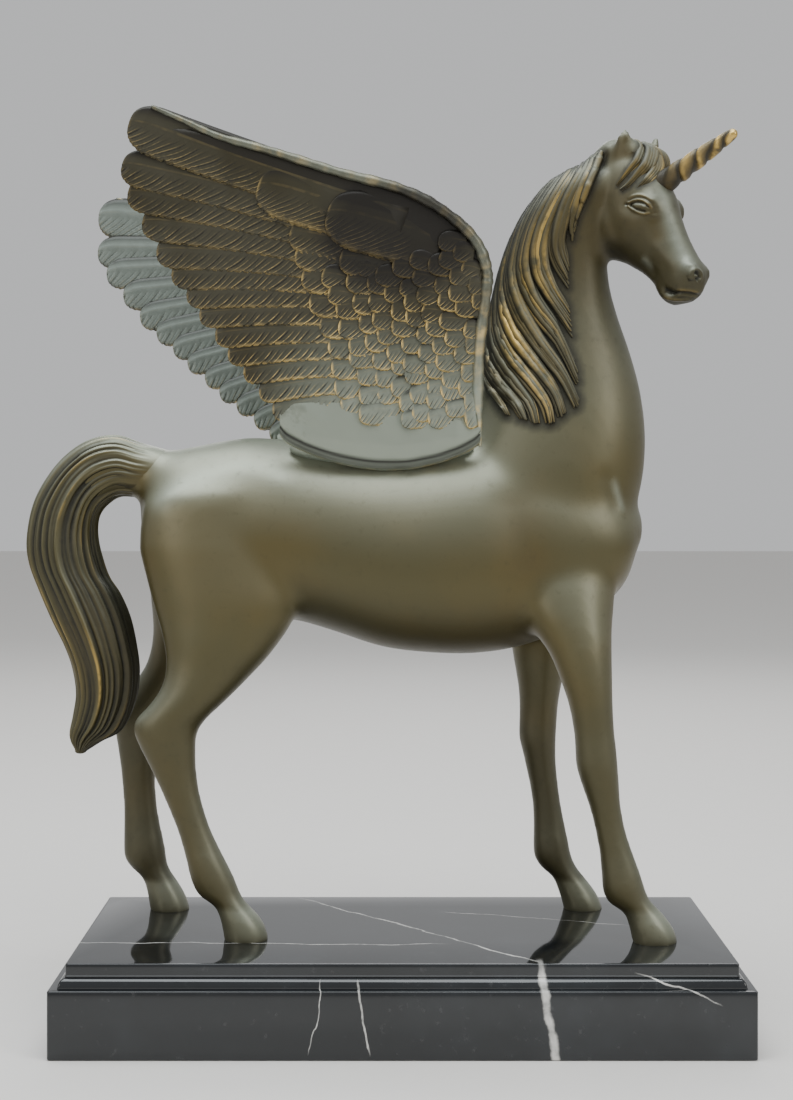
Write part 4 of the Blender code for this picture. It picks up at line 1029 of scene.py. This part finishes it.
def bronze_finish(name, ground, warm, haze):
    """Patinated bronze: mottled ground, dark where hollow, and rubbed to gold where it stands proud; where it
    faces up it is paler, as painted top light and dust, and where it faces down darker, as painted shade.
    """
    metal = Finish(name, Coat_Weight=0.12, Coat_Roughness=0.3)
    broad = metal.noise(13, 3, 0.55)
    fine = metal.noise(240, 4, 0.6)
    up = metal.add("SeparateXYZ", {}, {0: metal.add("NewGeometry", {}, {}, out="Normal")}, out=2)
    tone = (broad.between(0.42, 0.68) * 0.8 + metal.mark("warm")).math("MINIMUM", 1.0)
    color = metal.mix(tone, ground, warm)
    # Painted top light and dust: paler where the surface faces up, and where the mark paints highlights and
    # paler hooves
    top_light_and_dust = up.between(-0.15, 0.95) * 0.66 + metal.mark("haze")
    color = metal.mix((top_light_and_dust * (0.6 + 0.8 * broad)).math("MINIMUM", 0.85), color, haze)
    color = metal.mix(fine.between(0.55, 0.8) * 0.25, color, tuple(0.6 * c for c in ground))
    # Painted shade: darker where the surface faces down
    underside = (0 - up).between(0.2, 1.0) * 0.5
    shade = (metal.mark("shade") * (0.75 + 0.5 * fine) + underside).math("MINIMUM", 1.0)
    color = metal.mix(shade * 0.92, color, NEARLY_BLACK)
    worn = (metal.mark("rub") * metal.noise(120, 3, 0.6).between(0.3, 0.6)).math("MINIMUM", 1.0)
    color = metal.mix(worn, color, GOLD)
    return metal.feed(
        Base_Color=color,
        Metallic=0.5 + 0.4 * worn,
        Roughness=0.42 + 0.16 * shade + 0.1 * (fine - 0.5) - 0.12 * worn,
        Normal=metal.bump(metal.noise(900, 3), 0.00012, 0.25),
    )


BROWN, WARM, PALE_AND_HIGHLIGHT = (0.078, 0.067, 0.026), (0.098, 0.074, 0.022), (0.33, 0.36, 0.29)
body_bronze = bronze_finish("brown bronze", BROWN, WARM, PALE_AND_HIGHLIGHT)
horse.data.materials.append(body_bronze)
horse.data.polygons.foreach_set("use_smooth", [True] * len(horse.data.polygons))
seat(horse, "bronze", "horse")

# Mane, forelock and tail: part of the same casting. The mane falls on the right side of the neck in
# nine locks, each a bundle of ridges; the tail is one curved body with grooves along it. The
# ridges are rubbed to gold and the grooves between them are nearly black.
MANE_RADIUS = 2.3
RIDGES_PER_LOCK = 7
LOCK_STEPS = 30
STRAND_AROUND, STRAND_FLAT = 12, 0.8
FORELOCK_RADIUS = 1.9
TAIL_RELIEF = 1.3
hide = BVHTree.FromObject(horse, bpy.context.evaluated_depsgraph_get())


def laid_on(path, way, lift):
    """Points of a side-view path laid on the horse's skin, seen from the side that way points to."""
    out, last = [], None
    for x, z in path:
        start = Vector((x, HORSE_AT[1] + 200 * way, z + HORSE_AT[2])) * MM
        hit = hide.ray_cast(start, Vector((0, -way, 0)))[0]
        if hit is None:
            near = Vector((x, HORSE_AT[1] if last is None else last, z + HORSE_AT[2])) * MM
            hit = hide.find_nearest(near)[0]
        last = hit.y / MM
        out.append((hit.x / MM, last + lift * way, hit.z / MM))
    return np.array(out)


def ridge_marks(count, rub, shade, turns, wave):
    """Marks of a strand: rubbed along its outer crest, in stretches, and dark at its flanks."""
    crest = np.clip(np.sin(turns), 0, 1)
    rows = np.linspace(0, 1, count + 6)
    along = np.sin(math.pi * np.clip(rows, 0.05, 0.95)) * (0.55 + 0.45 * np.sin(wave + 9 * rows))
    flank = np.clip(0.3 + shade * (1 - crest**2), 0, 1) * np.ones((len(rows), 1))
    return {"rub": (rub * np.outer(along, crest**7)).ravel(), "shade": flank.ravel()}


def mane_shapes():
    """Ridges laid side by side from one lock to the next; each lock's ridges gather towards its tip."""
    rng = np.random.default_rng(7)
    shapes = []
    locks = []
    for lock in MANE_LOCKS:
        curve = through(lock, 6)
        locks.append(curve[np.linspace(0, len(curve) - 1, LOCK_STEPS).round().astype(int)])
    turns = turns_of(STRAND_AROUND)
    t = np.linspace(0, 1, len(locks[0]))[:, None]
    for lock, (one, two) in enumerate(zip(locks, locks[1:])):
        for ridge in range(RIDGES_PER_LOCK):
            share = ridge / RIDGES_PER_LOCK
            gathered = share + (round(share) - share) * 0.35 * t**2
            path = one * (1 - gathered) + two * gathered
            path = path + np.array([1.0, -0.6]) * rng.uniform(-0.5, 0.5)
            proud = 0.3 + 1.6 * abs(math.cos(math.pi * share)) + rng.uniform(-0.3, 0.5)
            placed = laid_on(path, -1, proud)
            placed[:, 1] = np.convolve(np.pad(placed[:, 1], 3, "edge"), np.ones(7) / 7, "valid")
            fullness = np.minimum(np.minimum(0.6 + 4 * t, 1), 0.25 + 2.0 * (1 - t))[:, 0]
            rub = rng.choice((0.1, 0.3, 0.8, 1.2), p=(0.3, 0.25, 0.2, 0.25)) * (0.3 if lock == 0 else 1.0)
            marks = ridge_marks(len(path), rub, 0.85, -turns, rng.uniform(0, 6.28))
            radii = MANE_RADIUS * rng.uniform(0.8, 1.25) * fullness
            shapes.append(strand(placed, radii, (0, 1, 0), STRAND_FLAT, STRAND_AROUND, marks))
    return shapes


mane = make("mane", mane_shapes(), body_bronze)
seat(mane, "bronze")


def forelock_shapes():
    rng = np.random.default_rng(11)
    shapes = []
    turns = turns_of(STRAND_AROUND)
    for lock in FORELOCKS:
        path = through(lock, 5)
        t = np.linspace(0, 1, len(path))
        fullness = np.minimum(np.minimum(0.6 + 4 * t, 1), 0.15 + 1.6 * (1 - t))
        for ridge in (-1.5, -0.5, 0.5, 1.5):
            fan = np.array([1.1, 0.2, 1.5]) * ridge * (1 - 0.6 * t[:, None])
            marks = ridge_marks(len(path), rng.choice((0.2, 0.5)), 0.8, turns, rng.uniform(0, 6.28))
            placed = on_head(path + fan) + HORSE_AT
            radii = FORELOCK_RADIUS * fullness
            shapes.append(strand(placed, radii, OUT_OF_FACE, STRAND_FLAT, STRAND_AROUND, marks))
    return shapes


forelock = make("forelock", forelock_shapes(), body_bronze)
seat(forelock, "bronze")


def tail_shape():
    """The tail's own loft, with grooves that run along it and fade out at the root."""
    around, steps = 200, 12
    rows = through([row[:5] for row in TAIL], steps)
    one = np.column_stack([rows[:, 0], np.zeros(len(rows)), rows[:, 1]])
    two = np.column_stack([rows[:, 2], np.zeros(len(rows)), rows[:, 3]])
    middle, up = (one + two) / 2, (one - two) / 2
    side = unit(np.cross(unit(np.gradient(middle, axis=0)), up))
    turns = turns_of(around)
    rng = np.random.default_rng(5)
    waves = [(n, rng.uniform(0, 6.28), rng.uniform(-1.3, 1.3)) for n in (7, 12, 19, 27, 34)]
    rings, marks = [], {"rub": [], "shade": []}
    for i, (m, u, s, w) in enumerate(zip(middle, up, side, rows[:, 4])):
        t = i / (len(rows) - 1)
        relief = sum(np.abs(np.sin((n * turns + start + twist * 4 * t) / 2)) for n, start, twist in waves)
        relief = (relief / len(waves) - 0.64) / 0.3
        depth = TAIL_RELIEF * min(1.0, max(0.0, (t - 0.08) / 0.14)) * min(1.0, (1.02 - t) / 0.1)
        oval = u * np.cos(turns)[:, None] + s * (w * np.sin(turns))[:, None]
        rings.append(m + oval + unit(oval) * (depth * relief)[:, None])
        full = depth / TAIL_RELIEF
        # Painted shade on the inner side of the tail's curve, growing down the tail
        inner = np.clip(-np.cos(turns) + 0.1, 0, 1) * np.interp(t, (0.3, 0.6), (0.0, 0.75))
        gilt = 0.5 + 0.5 * np.sin(2 * turns + 14 * t)
        marks["shade"].append(np.maximum(np.clip(0.42 - relief * 0.9, 0, 1) * full, inner))
        marks["rub"].append(np.clip(relief - 0.5, 0, 1) * gilt**3 * 1.2 * full * (1 - inner))
    rings = rounded_ends(rings, 0, 2)
    for name in marks:
        marks[name] = np.concatenate([*marks[name], np.zeros(3 * around)])
    points, faces = wrap(rings)
    return points + HORSE_AT, faces, marks


tail = make("tail", [tail_shape()], body_bronze)
seat(tail, "bronze")


def paint_shadow_under(piece, reach):
    """Painted shadow on the horse's skin where the piece lies on it."""
    tree = BVHTree.FromObject(piece, bpy.context.evaluated_depsgraph_get())
    shade = horse.data.attributes["shade"].data
    box = np.array([corner[:] for corner in piece.bound_box])
    low, high = box.min(0) - reach * MM, box.max(0) + reach * MM
    for vertex, mark in zip(horse.data.vertices, shade):
        co = vertex.co
        if all(a < c < b for a, c, b in zip(low, co, high)):
            far = tree.find_nearest(co, reach * MM)[3]
            if far is not None:
                mark.value = max(mark.value, 0.85 * (1 - (far / (reach * MM)) ** 2))


# Painted shadow on the skin under the mane and the forelock
paint_shadow_under(mane, 5.0)
paint_shadow_under(forelock, 2.5)


# Wings: two castings of their own, darker than the body, each set in a pocket of the back. A smooth
# root and a bent arm carry thirteen long feathers, two rows of coverts and small round scales.
# Feathers overlap from the top down, and their edges and barbs are rubbed to gold.
WING_ROOT = (-10.0, 24.0, 231.0)
WING_LEAN = 12.5
RIGHT_SWEEP, LEFT_SWEEP = 0.0, 12.0
ROOT_THICKNESS = 11.0
# Wing seen from outside in its own plane: x forward and height above the root's lower edge
LEADING_EDGE = [
    (38, 12), (36.5, 36), (37, 62), (40, 88), (40.2, 99), (34.5, 113), (19.3, 126.7), (-1, 137),
    (-31, 145), (-61.5, 154.5), (-86.7, 161.4), (-104, 169), (-119, 175.5), (-125, 178),
]
# Long feathers: x and height of the quill's root, of its tip, and the blade's width
LONG_FEATHERS = [
    (2, 117, -130, 169, 24),
    (0, 112, -134, 149, 19),
    (-2, 107, -131.5, 136, 18),
    (-4, 102, -125, 122, 18),
    (-6, 97, -118.5, 108, 17),
    (-8, 91, -111.5, 97, 16),
    (-8, 84, -104.5, 87, 15),
    (-8, 76, -98.5, 77, 14),
    (-8, 68, -91, 67, 14),
    (-8, 60, -85, 57.5, 13.5),
    (-8, 52, -77.5, 48.5, 13.5),
    (-8, 44, -70, 39, 13.5),
    (-8, 36, -63.5, 29.5, 13.5),
]
# Root pad along its length: x, height of its lower edge, and of its upper edge under the feathers
ROOT_PAD = [
    (-60, 17, 31),
    (-56, 13, 33),
    (-45, 8, 34),
    (-32, 3.6, 34),
    (-16, 0.4, 34),
    (0, 0, 34),
    (16, 2.8, 34),
    (28, 7, 34),
    (36, 11, 33),
    (39, 14, 31),
]
# How thin the root is at its two ends, and over which length it thins towards them
ROOT_END_SHARE = 0.45
ROOT_END_RUN = 12.0
# Arm and palm under the feathers: x and height of its rear point and of its point on the leading edge
WING_ARM = [
    (-54, 16, 37, 13),
    (-42, 42, 35.5, 46),
    (-36, 80, 39, 88),
    (-38, 96, 39, 100),
    (-42, 108, 33.5, 112),
    (-48, 118, 19, 125.5),
    (-58, 129, -1, 136),
    (-71, 141, -31, 144),
    (-86, 151, -62, 153.5),
    (-112, 166, -100, 166),
]
# Muscle that joins the wing to the back: middle and radii in the wing's frame, forward, outward and up
WING_BOSS_AT, WING_BOSS_RADII = (-10.0, -8.0, 9.0), (46.0, 9.5, 8.5)
# Rolled rim of the leading edge, and the height of the groove above the root's rolled rim
RIM_RADIUS, RIM_DEPTH, RIM_OFFSET = 2.9, 1.25, 0.9
RIM_HEIGHT = 5.0
BARB_PITCH = 3.7
# Where the shaft lies across a feather, whose edges are at 1 and -1
SHAFT_SIDE = 0.25
ARM_THICKNESS = 1.4
# Coverts: forward and up of the tip, width, and how far the feather runs back under the next row
FIRST_COVERTS = (
    (-69, 139.5, 27, 60), (-54, 117, 18, 42), (-51.5, 107, 16, 38), (-48.5, 96, 16, 36), (-45, 84, 16, 34),
    (-40, 72.5, 15, 32), (-36, 61.5, 14, 30), (-34.5, 51, 14, 30), (-33, 41, 14, 28), (-30, 32.5, 13, 26),
)
SECOND_COVERTS = (
    (-36, 126.5, 30, 58), (-30, 105, 17, 34), (-27, 94.5, 14, 30), (-24, 84, 14, 28), (-21, 74, 13, 26),
    (-18, 64.5, 13, 24), (-14.5, 55, 12, 24), (-13, 46, 12, 22), (-12, 37.5, 12, 22), (-10, 29.5, 11, 20),
)
# Small scales: how far apart their rows lie, how far apart they lie in a row, and where they start and end
SCALE_ROWS, SCALE_ROW_GAP, SCALE_GAP = 8, 8.2, 8.4
SCALE_LOW, SCALE_HIGH = 25.5, 133.0
# The row under the second coverts ends lower, and the big covert lies over what is above and behind this
UNDER_ROW_HIGH = 100.0
BIG_COVERT_FOOT, BIG_COVERT_SLOPE = 103.0, 1.6
SCALE_SHORTEST = 5.0
# Middle and radii of the painted shade patch at the top of the wing, which faces down under the leading edge,
# and of the patch that is rubbed most
SHADE_PATCH_AT, SHADE_PATCH_REACH = (-3.0, 114.0), (38.0, 27.0)
GILT_AT, GILT_REACH = (-28.0, 56.0), (46.0, 36.0)


def wing_place(way, sweep):
    """From the wing's frame (forward, outward, up) to the figurine's; way is -1 for the right wing."""
    x, out, up = WING_ROOT
    back = Matrix.Rotation(math.radians(-sweep), 4, "Y")
    lean = Matrix.Rotation(math.radians(-WING_LEAN), 4, "X")
    seat_at = Matrix.Translation((x, HORSE_Y + way * out, up + BASE_TOP + SEAT_GAP))
    return seat_at @ Matrix.Diagonal((1, way, 1, 1)) @ lean @ back @ Matrix.Translation((-x, 0, 0))


def feather(
    root, tip, width, lift=(0.0, 0.0), thick=3.0, *, bend, rub, relief, wave, fine=0.75, across=12,
    barbs=BARB_PITCH, start=0.0, tilt=5.0,
):
    """A feather as a closed blade: shaft above its middle, curved barbs below it, rounded tip, and its
    lower edge proud. Lift is how much further out both of its faces lie, at the root and at the tip."""
    root, tip = np.array(root, float), np.array(tip, float)
    length = np.linalg.norm(tip - root)
    way = (tip - root) / length
    perp = np.array([way[1], -way[0]])
    perp = perp if perp[1] > 0 else -perp
    curve = min(0.6 * width, 0.5 * length)
    straight = np.concatenate([
        np.linspace(0, start * length, 4, endpoint=False) if start else [],
        np.arange(start * length, length - curve, fine),
    ])
    arc = np.radians(np.linspace(4, 86, max(7, int(curve * 1.4 / fine))))
    run = np.concatenate([straight, length - curve + curve * np.sin(arc)])
    taper = np.concatenate([0.82 + 0.18 * fade(straight, 0, 0.4 * length), np.cos(arc) ** 0.75])
    half = width / 2 * taper
    s = run / length
    v = np.linspace(1, -1, across)
    u, vv, hh = run[:, None], v[None, :], half[:, None]
    below = np.clip(0.15 - vv, 0, None) * hh
    phase = (u - 0.75 * below - 0.03 * below**2) / barbs + 0.12 * np.sin(0.35 * u + wave)
    strong = 0.65 + 0.35 * np.sin(np.floor(phase) * 2.4 + wave)
    vane = fade(vv, 0.1, -0.3) * fade(u, start * length, 4) * strong
    saw = phase - np.floor(phase)
    cut = np.exp(-(((saw - 0.5) / 0.17) ** 2))
    middle = root + way * run[:, None] + perp * (bend * np.sin(math.pi * s))[:, None]
    notch = 1 - 0.07 * cut * vane * (vv < -0.8)
    flat = middle[:, None, :] + perp * (vv * hh * notch)[..., None]
    slope = -vv * hh * math.tan(math.radians(tilt))
    body = thick / 2 * (1 - 0.5 * np.abs(vv) ** 3) * (0.6 + 0.4 * fade(u, length, -0.3 * width))
    shaft = np.exp(-(((vv - SHAFT_SIDE) / 0.09) ** 2))
    swell = 0.35 * np.exp(-(((saw - 0.85) / 0.2) ** 2))
    height = relief * (0.5 * shaft + vane * (swell - cut))
    body = body + lift[0] + (lift[1] - lift[0]) * u / length
    outer = np.concatenate([flat, (slope + body + height)[..., None]], -1)
    inner = np.concatenate([flat, (slope - body - height)[..., None]], -1)[:, -2:0:-1]
    ring = np.concatenate([outer, inner], 1)
    points = ring.reshape(-1, 3)[:, [0, 2, 1]]
    count, around = ring.shape[:2]
    faces = wrap(ring)[1]
    low_edge = fade(-vv, 0.78, 0.22) * np.ones_like(u)
    end = np.clip((u - length + 1.3) / 1.3, 0, 1) * np.clip(1.3 - np.abs(vv), 0, 1)
    # Painted shadow along each feather's top edge, which lies under the proud lower edge of the feather above
    under = fade(vv, 0.5, 0.3) * fade(u, length, -4)
    full = {
        "barb": phase, "vane": vane, "across": vv * np.ones_like(u),
        "rub": rub * np.clip(low_edge + end, 0, 1), "shade": under * 0.9,
    }
    marks = {name: np.concatenate([grid, grid[:, -2:0:-1]], 1).ravel() for name, grid in full.items()}
    inside = np.arange(around) >= across
    marks["inner"] = np.tile(inside.astype(float), count)
    return points, faces, marks


def root_shape():
    """The smooth root: full along its bottom, thin along its top under the scales, with a rolled rim."""
    around = 72
    turns = turns_of(around)
    rng = np.random.default_rng(13)
    lumps = [(rng.uniform(0.12, 0.4), rng.uniform(0.15, 0.5), rng.uniform(0, 6.28)) for _ in range(6)]
    rows = through(ROOT_PAD, 8)
    first, last = rows[0, 0], rows[-1, 0]
    rings, dark, pale = [], [], []
    for x, low, high in rows:
        share = min(1.0, ROOT_END_SHARE + (1 - ROOT_END_SHARE) * min(x - first, last - x) / ROOT_END_RUN)
        up = (low + high) / 2 + (high - low) / 2 * np.cos(turns)
        rise = up - low
        full = np.interp(rise / (high - low), (0, 0.04, 0.14, 0.4, 0.7, 1), (0.35, 0.75, 0.95, 1, 0.7, 0.3))
        out = ROOT_THICKNESS / 2 * share * full
        out = out + 0.12 * sum(np.sin(a * x + b * up + c) for a, b, c in lumps)
        groove = np.exp(-(((rise - RIM_HEIGHT) / 1.0) ** 2))
        out = (out - 0.9 * groove) * np.sign(np.sin(turns) + 1e-9)
        rings.append(np.column_stack([np.full(around, x), out, up]))
        # Painted shade in the groove above the rolled rim and on the rim, which faces down
        dark.append(0.95 * groove + 0.75 * np.exp(-(((rise - 0.5 * RIM_HEIGHT) / 1.7) ** 2)))
        pale.append(0.45 * np.exp(-((rise / 0.8) ** 2)))
    points, faces = wrap(rings)
    marks = {"across": 1.0, "plain": 1.0, "shade": np.concatenate(dark), "rub": np.concatenate(pale)}
    return points, faces, marks


def edge_reach(up):
    """How far forward the wing reaches at a height."""
    edge = np.array(LEADING_EDGE[::-1])
    return np.interp(-up, -edge[:, 1], edge[:, 0])


def rim_shape():
    """The rolled leading edge, hatched across; it fades into the root and into the tip feather."""
    edge = through([(x, 0.0, up) for x, up in LEADING_EDGE[:-1]], 10)
    along = unit(np.gradient(edge, axis=0))
    edge = edge + np.column_stack([along[:, 2], np.zeros(len(edge)), -along[:, 0]]) * RIM_OFFSET
    t = np.linspace(0, 1, len(edge))
    rows = np.arange(len(edge))
    radii = RIM_RADIUS * np.interp(t, (0, 0.08, 0.55, 0.8, 1), (0.3, 1, 0.95, 0.65, 0.35))
    radii = radii * (1 + 0.07 * np.sin(rows * 1.7) + 0.05 * np.sin(rows * 0.61))
    around = 16
    turns = turns_of(around)
    points, faces, _ = strand(edge, radii, (0, 1, 0), RIM_DEPTH, around)
    rings = len(points) // around
    crest = np.tile(np.abs(np.sin(turns)) ** 2, rings)
    hatch = np.clip(np.sin(rows * 1.7 + 0.6) + 0.6 * np.sin(rows * 0.37), 0, 1)
    dome = [0] * ((rings - len(edge)) // 2)
    streak = np.repeat([*dome, *hatch, *dome], around)
    flank = np.tile(np.clip(0.9 - np.abs(np.sin(turns)), 0, 1) * 0.6, rings)
    return points, faces, {"across": 1.0, "plain": 0.4, "rub": 0.06 + 0.55 * crest * streak, "shade": flank}


def way_at(up):
    """The way in which the feathers point at a height."""
    return math.radians(np.interp(up, (30, 75, 130, 150), (190, 176, 163, 161)))


def wing_shapes():
    rng = np.random.default_rng(3)
    arm = [(a, b, c, d, ARM_THICKNESS, 0, 0) for a, b, c, d in WING_ARM]
    points, faces, _ = loft(arm, around=24, steps=4)
    shapes = [root_shape(), (points, faces, {"across": 1.0, "shade": 0.8}), rim_shape()]
    points, faces, _ = ball(WING_BOSS_AT, WING_BOSS_RADII, around=48)
    shapes.append((points, faces, {"across": 1.0, "plain": 1.0}))
    for number, (x, up, tip_x, tip_up, width) in enumerate(LONG_FEATHERS):
        raised, bend = (7.5, -1.2) if number == 0 else (0.0, 2.5)
        shapes.append(feather(
            (x, up + raised), (tip_x, tip_up), width, bend=bend, across=14, start=0.32,
            rub=0.35 + 0.045 * number, relief=0.75, tilt=6.0, wave=2.1 * number,
        ))
    for row, (coverts, lift) in enumerate(((FIRST_COVERTS, (-0.6, 1.5)), (SECOND_COVERTS, (-0.5, 2.2)))):
        for number, (x, up, width, reach) in enumerate(coverts):
            turn = way_at(up)
            root = (x - reach * math.cos(turn), up - reach * math.sin(turn))
            shapes.append(feather(
                root, (x, up), width, lift, bend=0.8, fine=0.8, barbs=3.4, start=0.25,
                rub=1.0, relief=(0.35, 0.2)[row] if width > 20 else 0.55, wave=1.7 * number + row,
            ))
    lines = [np.array(coverts)[::-1] for coverts in (FIRST_COVERTS, SECOND_COVERTS)]
    for row in range(-1, SCALE_ROWS):
        top = SCALE_HIGH if row >= 0 else UNDER_ROW_HIGH
        for up in np.arange(SCALE_LOW + SCALE_GAP / 2 * (row % 2), top, SCALE_GAP):
            up = up + rng.uniform(-1.3, 1.3)
            one, two = (np.interp(up, line[:, 1], line[:, 0]) for line in lines)
            x = (one + two) / 2 if row < 0 else two + SCALE_ROW_GAP * (row + 1)
            x = x + rng.uniform(-1.8, 1.8)
            width = rng.uniform(10, 13.5) if row >= 0 else rng.uniform(12, 14)
            reach = min(rng.uniform(15, 18), edge_reach(up + 3) - x)
            over = up - BIG_COVERT_FOOT
            if reach < SCALE_SHORTEST or (over > 0 and x < BIG_COVERT_SLOPE * over):
                continue
            turn = way_at(up) + math.radians(rng.uniform(-9, 9))
            over_root = np.interp(up, (26, 42), (1.7, 0.0))
            dark = math.hypot((x - SHADE_PATCH_AT[0]) / SHADE_PATCH_REACH[0], (up - SHADE_PATCH_AT[1]) / SHADE_PATCH_REACH[1]) < 1
            high = 2.0 + 0.8 * (reach / 16) + rng.uniform(-0.2, 0.2) - 0.5 * dark
            root = (x - reach * math.cos(turn), up - reach * math.sin(turn))
            shapes.append(feather(
                root, (x, up), width, (over_root + 0.2, over_root + high), 2.4, bend=0.5, fine=0.7, across=10,
                barbs=2.5, rub=1.0, relief=0.18 if dark else 0.4, tilt=6.0, wave=rng.uniform(0, 6.28),
            ))
    for points, faces, marks in shapes:
        x, up = points[:, 0], points[:, 2]
        # A painted shade patch at the top of the wing, which faces down under the leading edge
        dark = np.hypot((x - SHADE_PATCH_AT[0]) / SHADE_PATCH_REACH[0], (up - SHADE_PATCH_AT[1]) / SHADE_PATCH_REACH[1])
        marks["soot"] = np.clip((1.12 - dark) / 0.3, 0, 1)
        near = np.hypot((x - GILT_AT[0]) / GILT_REACH[0], (up - GILT_AT[1]) / GILT_REACH[1])
        front = np.clip((x + 10) / 25, 0, 1) * np.clip((96 - up) / 20, 0, 1)
        marks["gilt"] = np.clip(0.16 + np.exp(-(near**2)) + 0.5 * front, 0, 1)
        # The lower front of the wing, which faces up and out, is painted paler, as painted light
        marks["pale"] = np.clip((78 - up) / 45, 0, 1) * np.clip((x + 75) / 50, 0, 1)
    return shapes


def wing_finish():
    metal = Finish("dark rubbed bronze", Coat_Weight=0.12, Coat_Roughness=0.3)
    fine = metal.noise(260, 4, 0.6)
    broad = metal.noise(16, 3)
    soot, inner, gilt, rub = metal.mark("soot"), metal.mark("inner"), metal.mark("gilt"), metal.mark("rub")
    color = metal.mix(broad.between(0.4, 0.65), (0.034, 0.029, 0.013), (0.055, 0.051, 0.032))
    # The feathers' inner faces, which the far wing shows, are painted a pale blue-grey, as painted sheen
    color = metal.mix(inner * (0.55 + 0.4 * fine), color, (0.2, 0.235, 0.21))
    streak = metal.noise(60, 6, 0.7).between(0.3, 0.62)
    # Painted light on the lower front, mixed towards pale grey-green; the smooth root, boss and rim take the
    # same colour in streaks
    pale = metal.mark("pale") * (0.45 + 0.6 * fine) + metal.mark("plain") * (0.3 + 0.65 * streak)
    color = metal.mix(pale.math("MINIMUM", 0.95), color, (0.29, 0.325, 0.265))
    phase = metal.mark("barb").math("FRACT")
    vane = metal.mark("vane")
    side = metal.mark("across")
    # Painted shade in the barbs' grooves, and a painted highlight on their ridges
    groove = (1 - (phase - 0.5).math("ABSOLUTE").between(0.02, 0.2)) * vane
    ridge = (1 - (phase - 0.82).math("ABSOLUTE").between(0.0, 0.12)) * vane * (0 - side).between(-0.1, 0.7)
    shaft = 1 - (side - SHAFT_SIDE).math("ABSOLUTE").between(0.02, 0.07)
    outside = 1 - inner * 0.6
    color = metal.mix(ridge * 0.4 * (1 - inner), color, (0.16, 0.14, 0.08))
    shade = (metal.mark("shade") + groove * 0.95 * outside + soot * 0.85).math("MINIMUM", 1.0)
    color = metal.mix(shade * 0.94, color, (0.011, 0.009, 0.007))
    worn = (rub * 1.3 + ridge * 1.4) * (gilt + 0.12) + shaft * 0.05
    worn = worn * (1 - soot * 0.72) * outside * metal.noise(170, 3, 0.6).between(0.33, 0.6)
    worn = worn.math("MINIMUM", 1.0)
    color = metal.mix(worn, color, (0.8, 0.58, 0.22))
    height = ridge * 0.5 - groove + fine * 0.2
    return metal.feed(
        Base_Color=color,
        Metallic=0.5 + 0.4 * worn,
        Roughness=0.42 + 0.12 * shade - 0.12 * worn - 0.08 * soot,
        Normal=metal.bump(height, 0.0003, 0.6),
    )


wing_bronze = wing_finish()
feathers = wing_shapes()
for name, way, sweep in (("wing_right", -1, RIGHT_SWEEP), ("wing_left", 1, LEFT_SWEEP)):
    wing = make("feathered_" + name, feathers, wing_bronze, wing_place(way, sweep))
    seat(wing, "wing_bronze", name)


# Horn: a casting of its own, set in a socket of the forehead. It tapers to a blunt tip, two
# grooves wind round it, and the ridges between them are rubbed to bright gold.
HORN_LENGTH = 44.5
HORN_BASE_RADIUS, HORN_TIP_RADIUS = 5.8, 2.7
HORN_TAPER = 1.6
HORN_PITCH, HORN_STARTS = 19.0, 2
HORN_SEAT_AT = (20.0, 1.0, 0.0)
HORN_WAY = (0.16, 1.0)


def horn_shape():
    """Rings from the collar to the tip, with the groove's starts winding round them."""
    around, dome = 64, 3
    turns = turns_of(around)
    rings, worn, dark = [], [], []
    for up in np.linspace(0, HORN_LENGTH, 140):
        share = (up / HORN_LENGTH) ** HORN_TAPER
        phase = (HORN_STARTS * (up / HORN_PITCH + turns / (2 * math.pi)) + 0.1 * math.sin(0.5 * up)) % 1.0
        groove = np.exp(-(((phase - 0.5) / 0.17) ** 2)) * min(1.0, up / 6)
        reach = HORN_BASE_RADIUS + (HORN_TIP_RADIUS - HORN_BASE_RADIUS) * share
        rings.append(circle(reach * (1.02 - 0.17 * groove), up, around=around))
        crest = np.exp(-(((phase - 0.85) / 0.2) ** 2)) + np.exp(-(((phase + 0.15) / 0.2) ** 2))
        worn.append(np.clip(1.2 * crest, 0, 1) * np.interp(up, (8, 24, 44), (0.08, 0.8, 1.2)))
        dark.append(np.clip(0.25 + groove * 0.9 + np.interp(up, (6, 16), (0.6, 0)), 0, 1))
    worn.append(np.ones(around * dome))
    dark.append(np.zeros(around * dome))
    marks = {"rub": np.concatenate(worn), "shade": np.concatenate(dark)}
    return (*wrap(rounded_ends(rings, 0, HORN_TIP_RADIUS)), marks)


horn_bronze = bronze_finish("gold rubbed bronze", (0.16, 0.12, 0.05), (0.2, 0.13, 0.04), (0.25, 0.22, 0.14))
horn_way = Vector(unit(HORN_WAY[0] * DOWN_FACE + HORN_WAY[1] * OUT_OF_FACE)).to_track_quat("Z", "Y")
horn_place = Matrix.Translation(Vector(on_head(HORN_SEAT_AT) + HORSE_AT)) @ horn_way.to_matrix().to_4x4()
seat(make("spiral_horn", [horn_shape()], horn_bronze, horn_place), "horn_bronze", "horn")
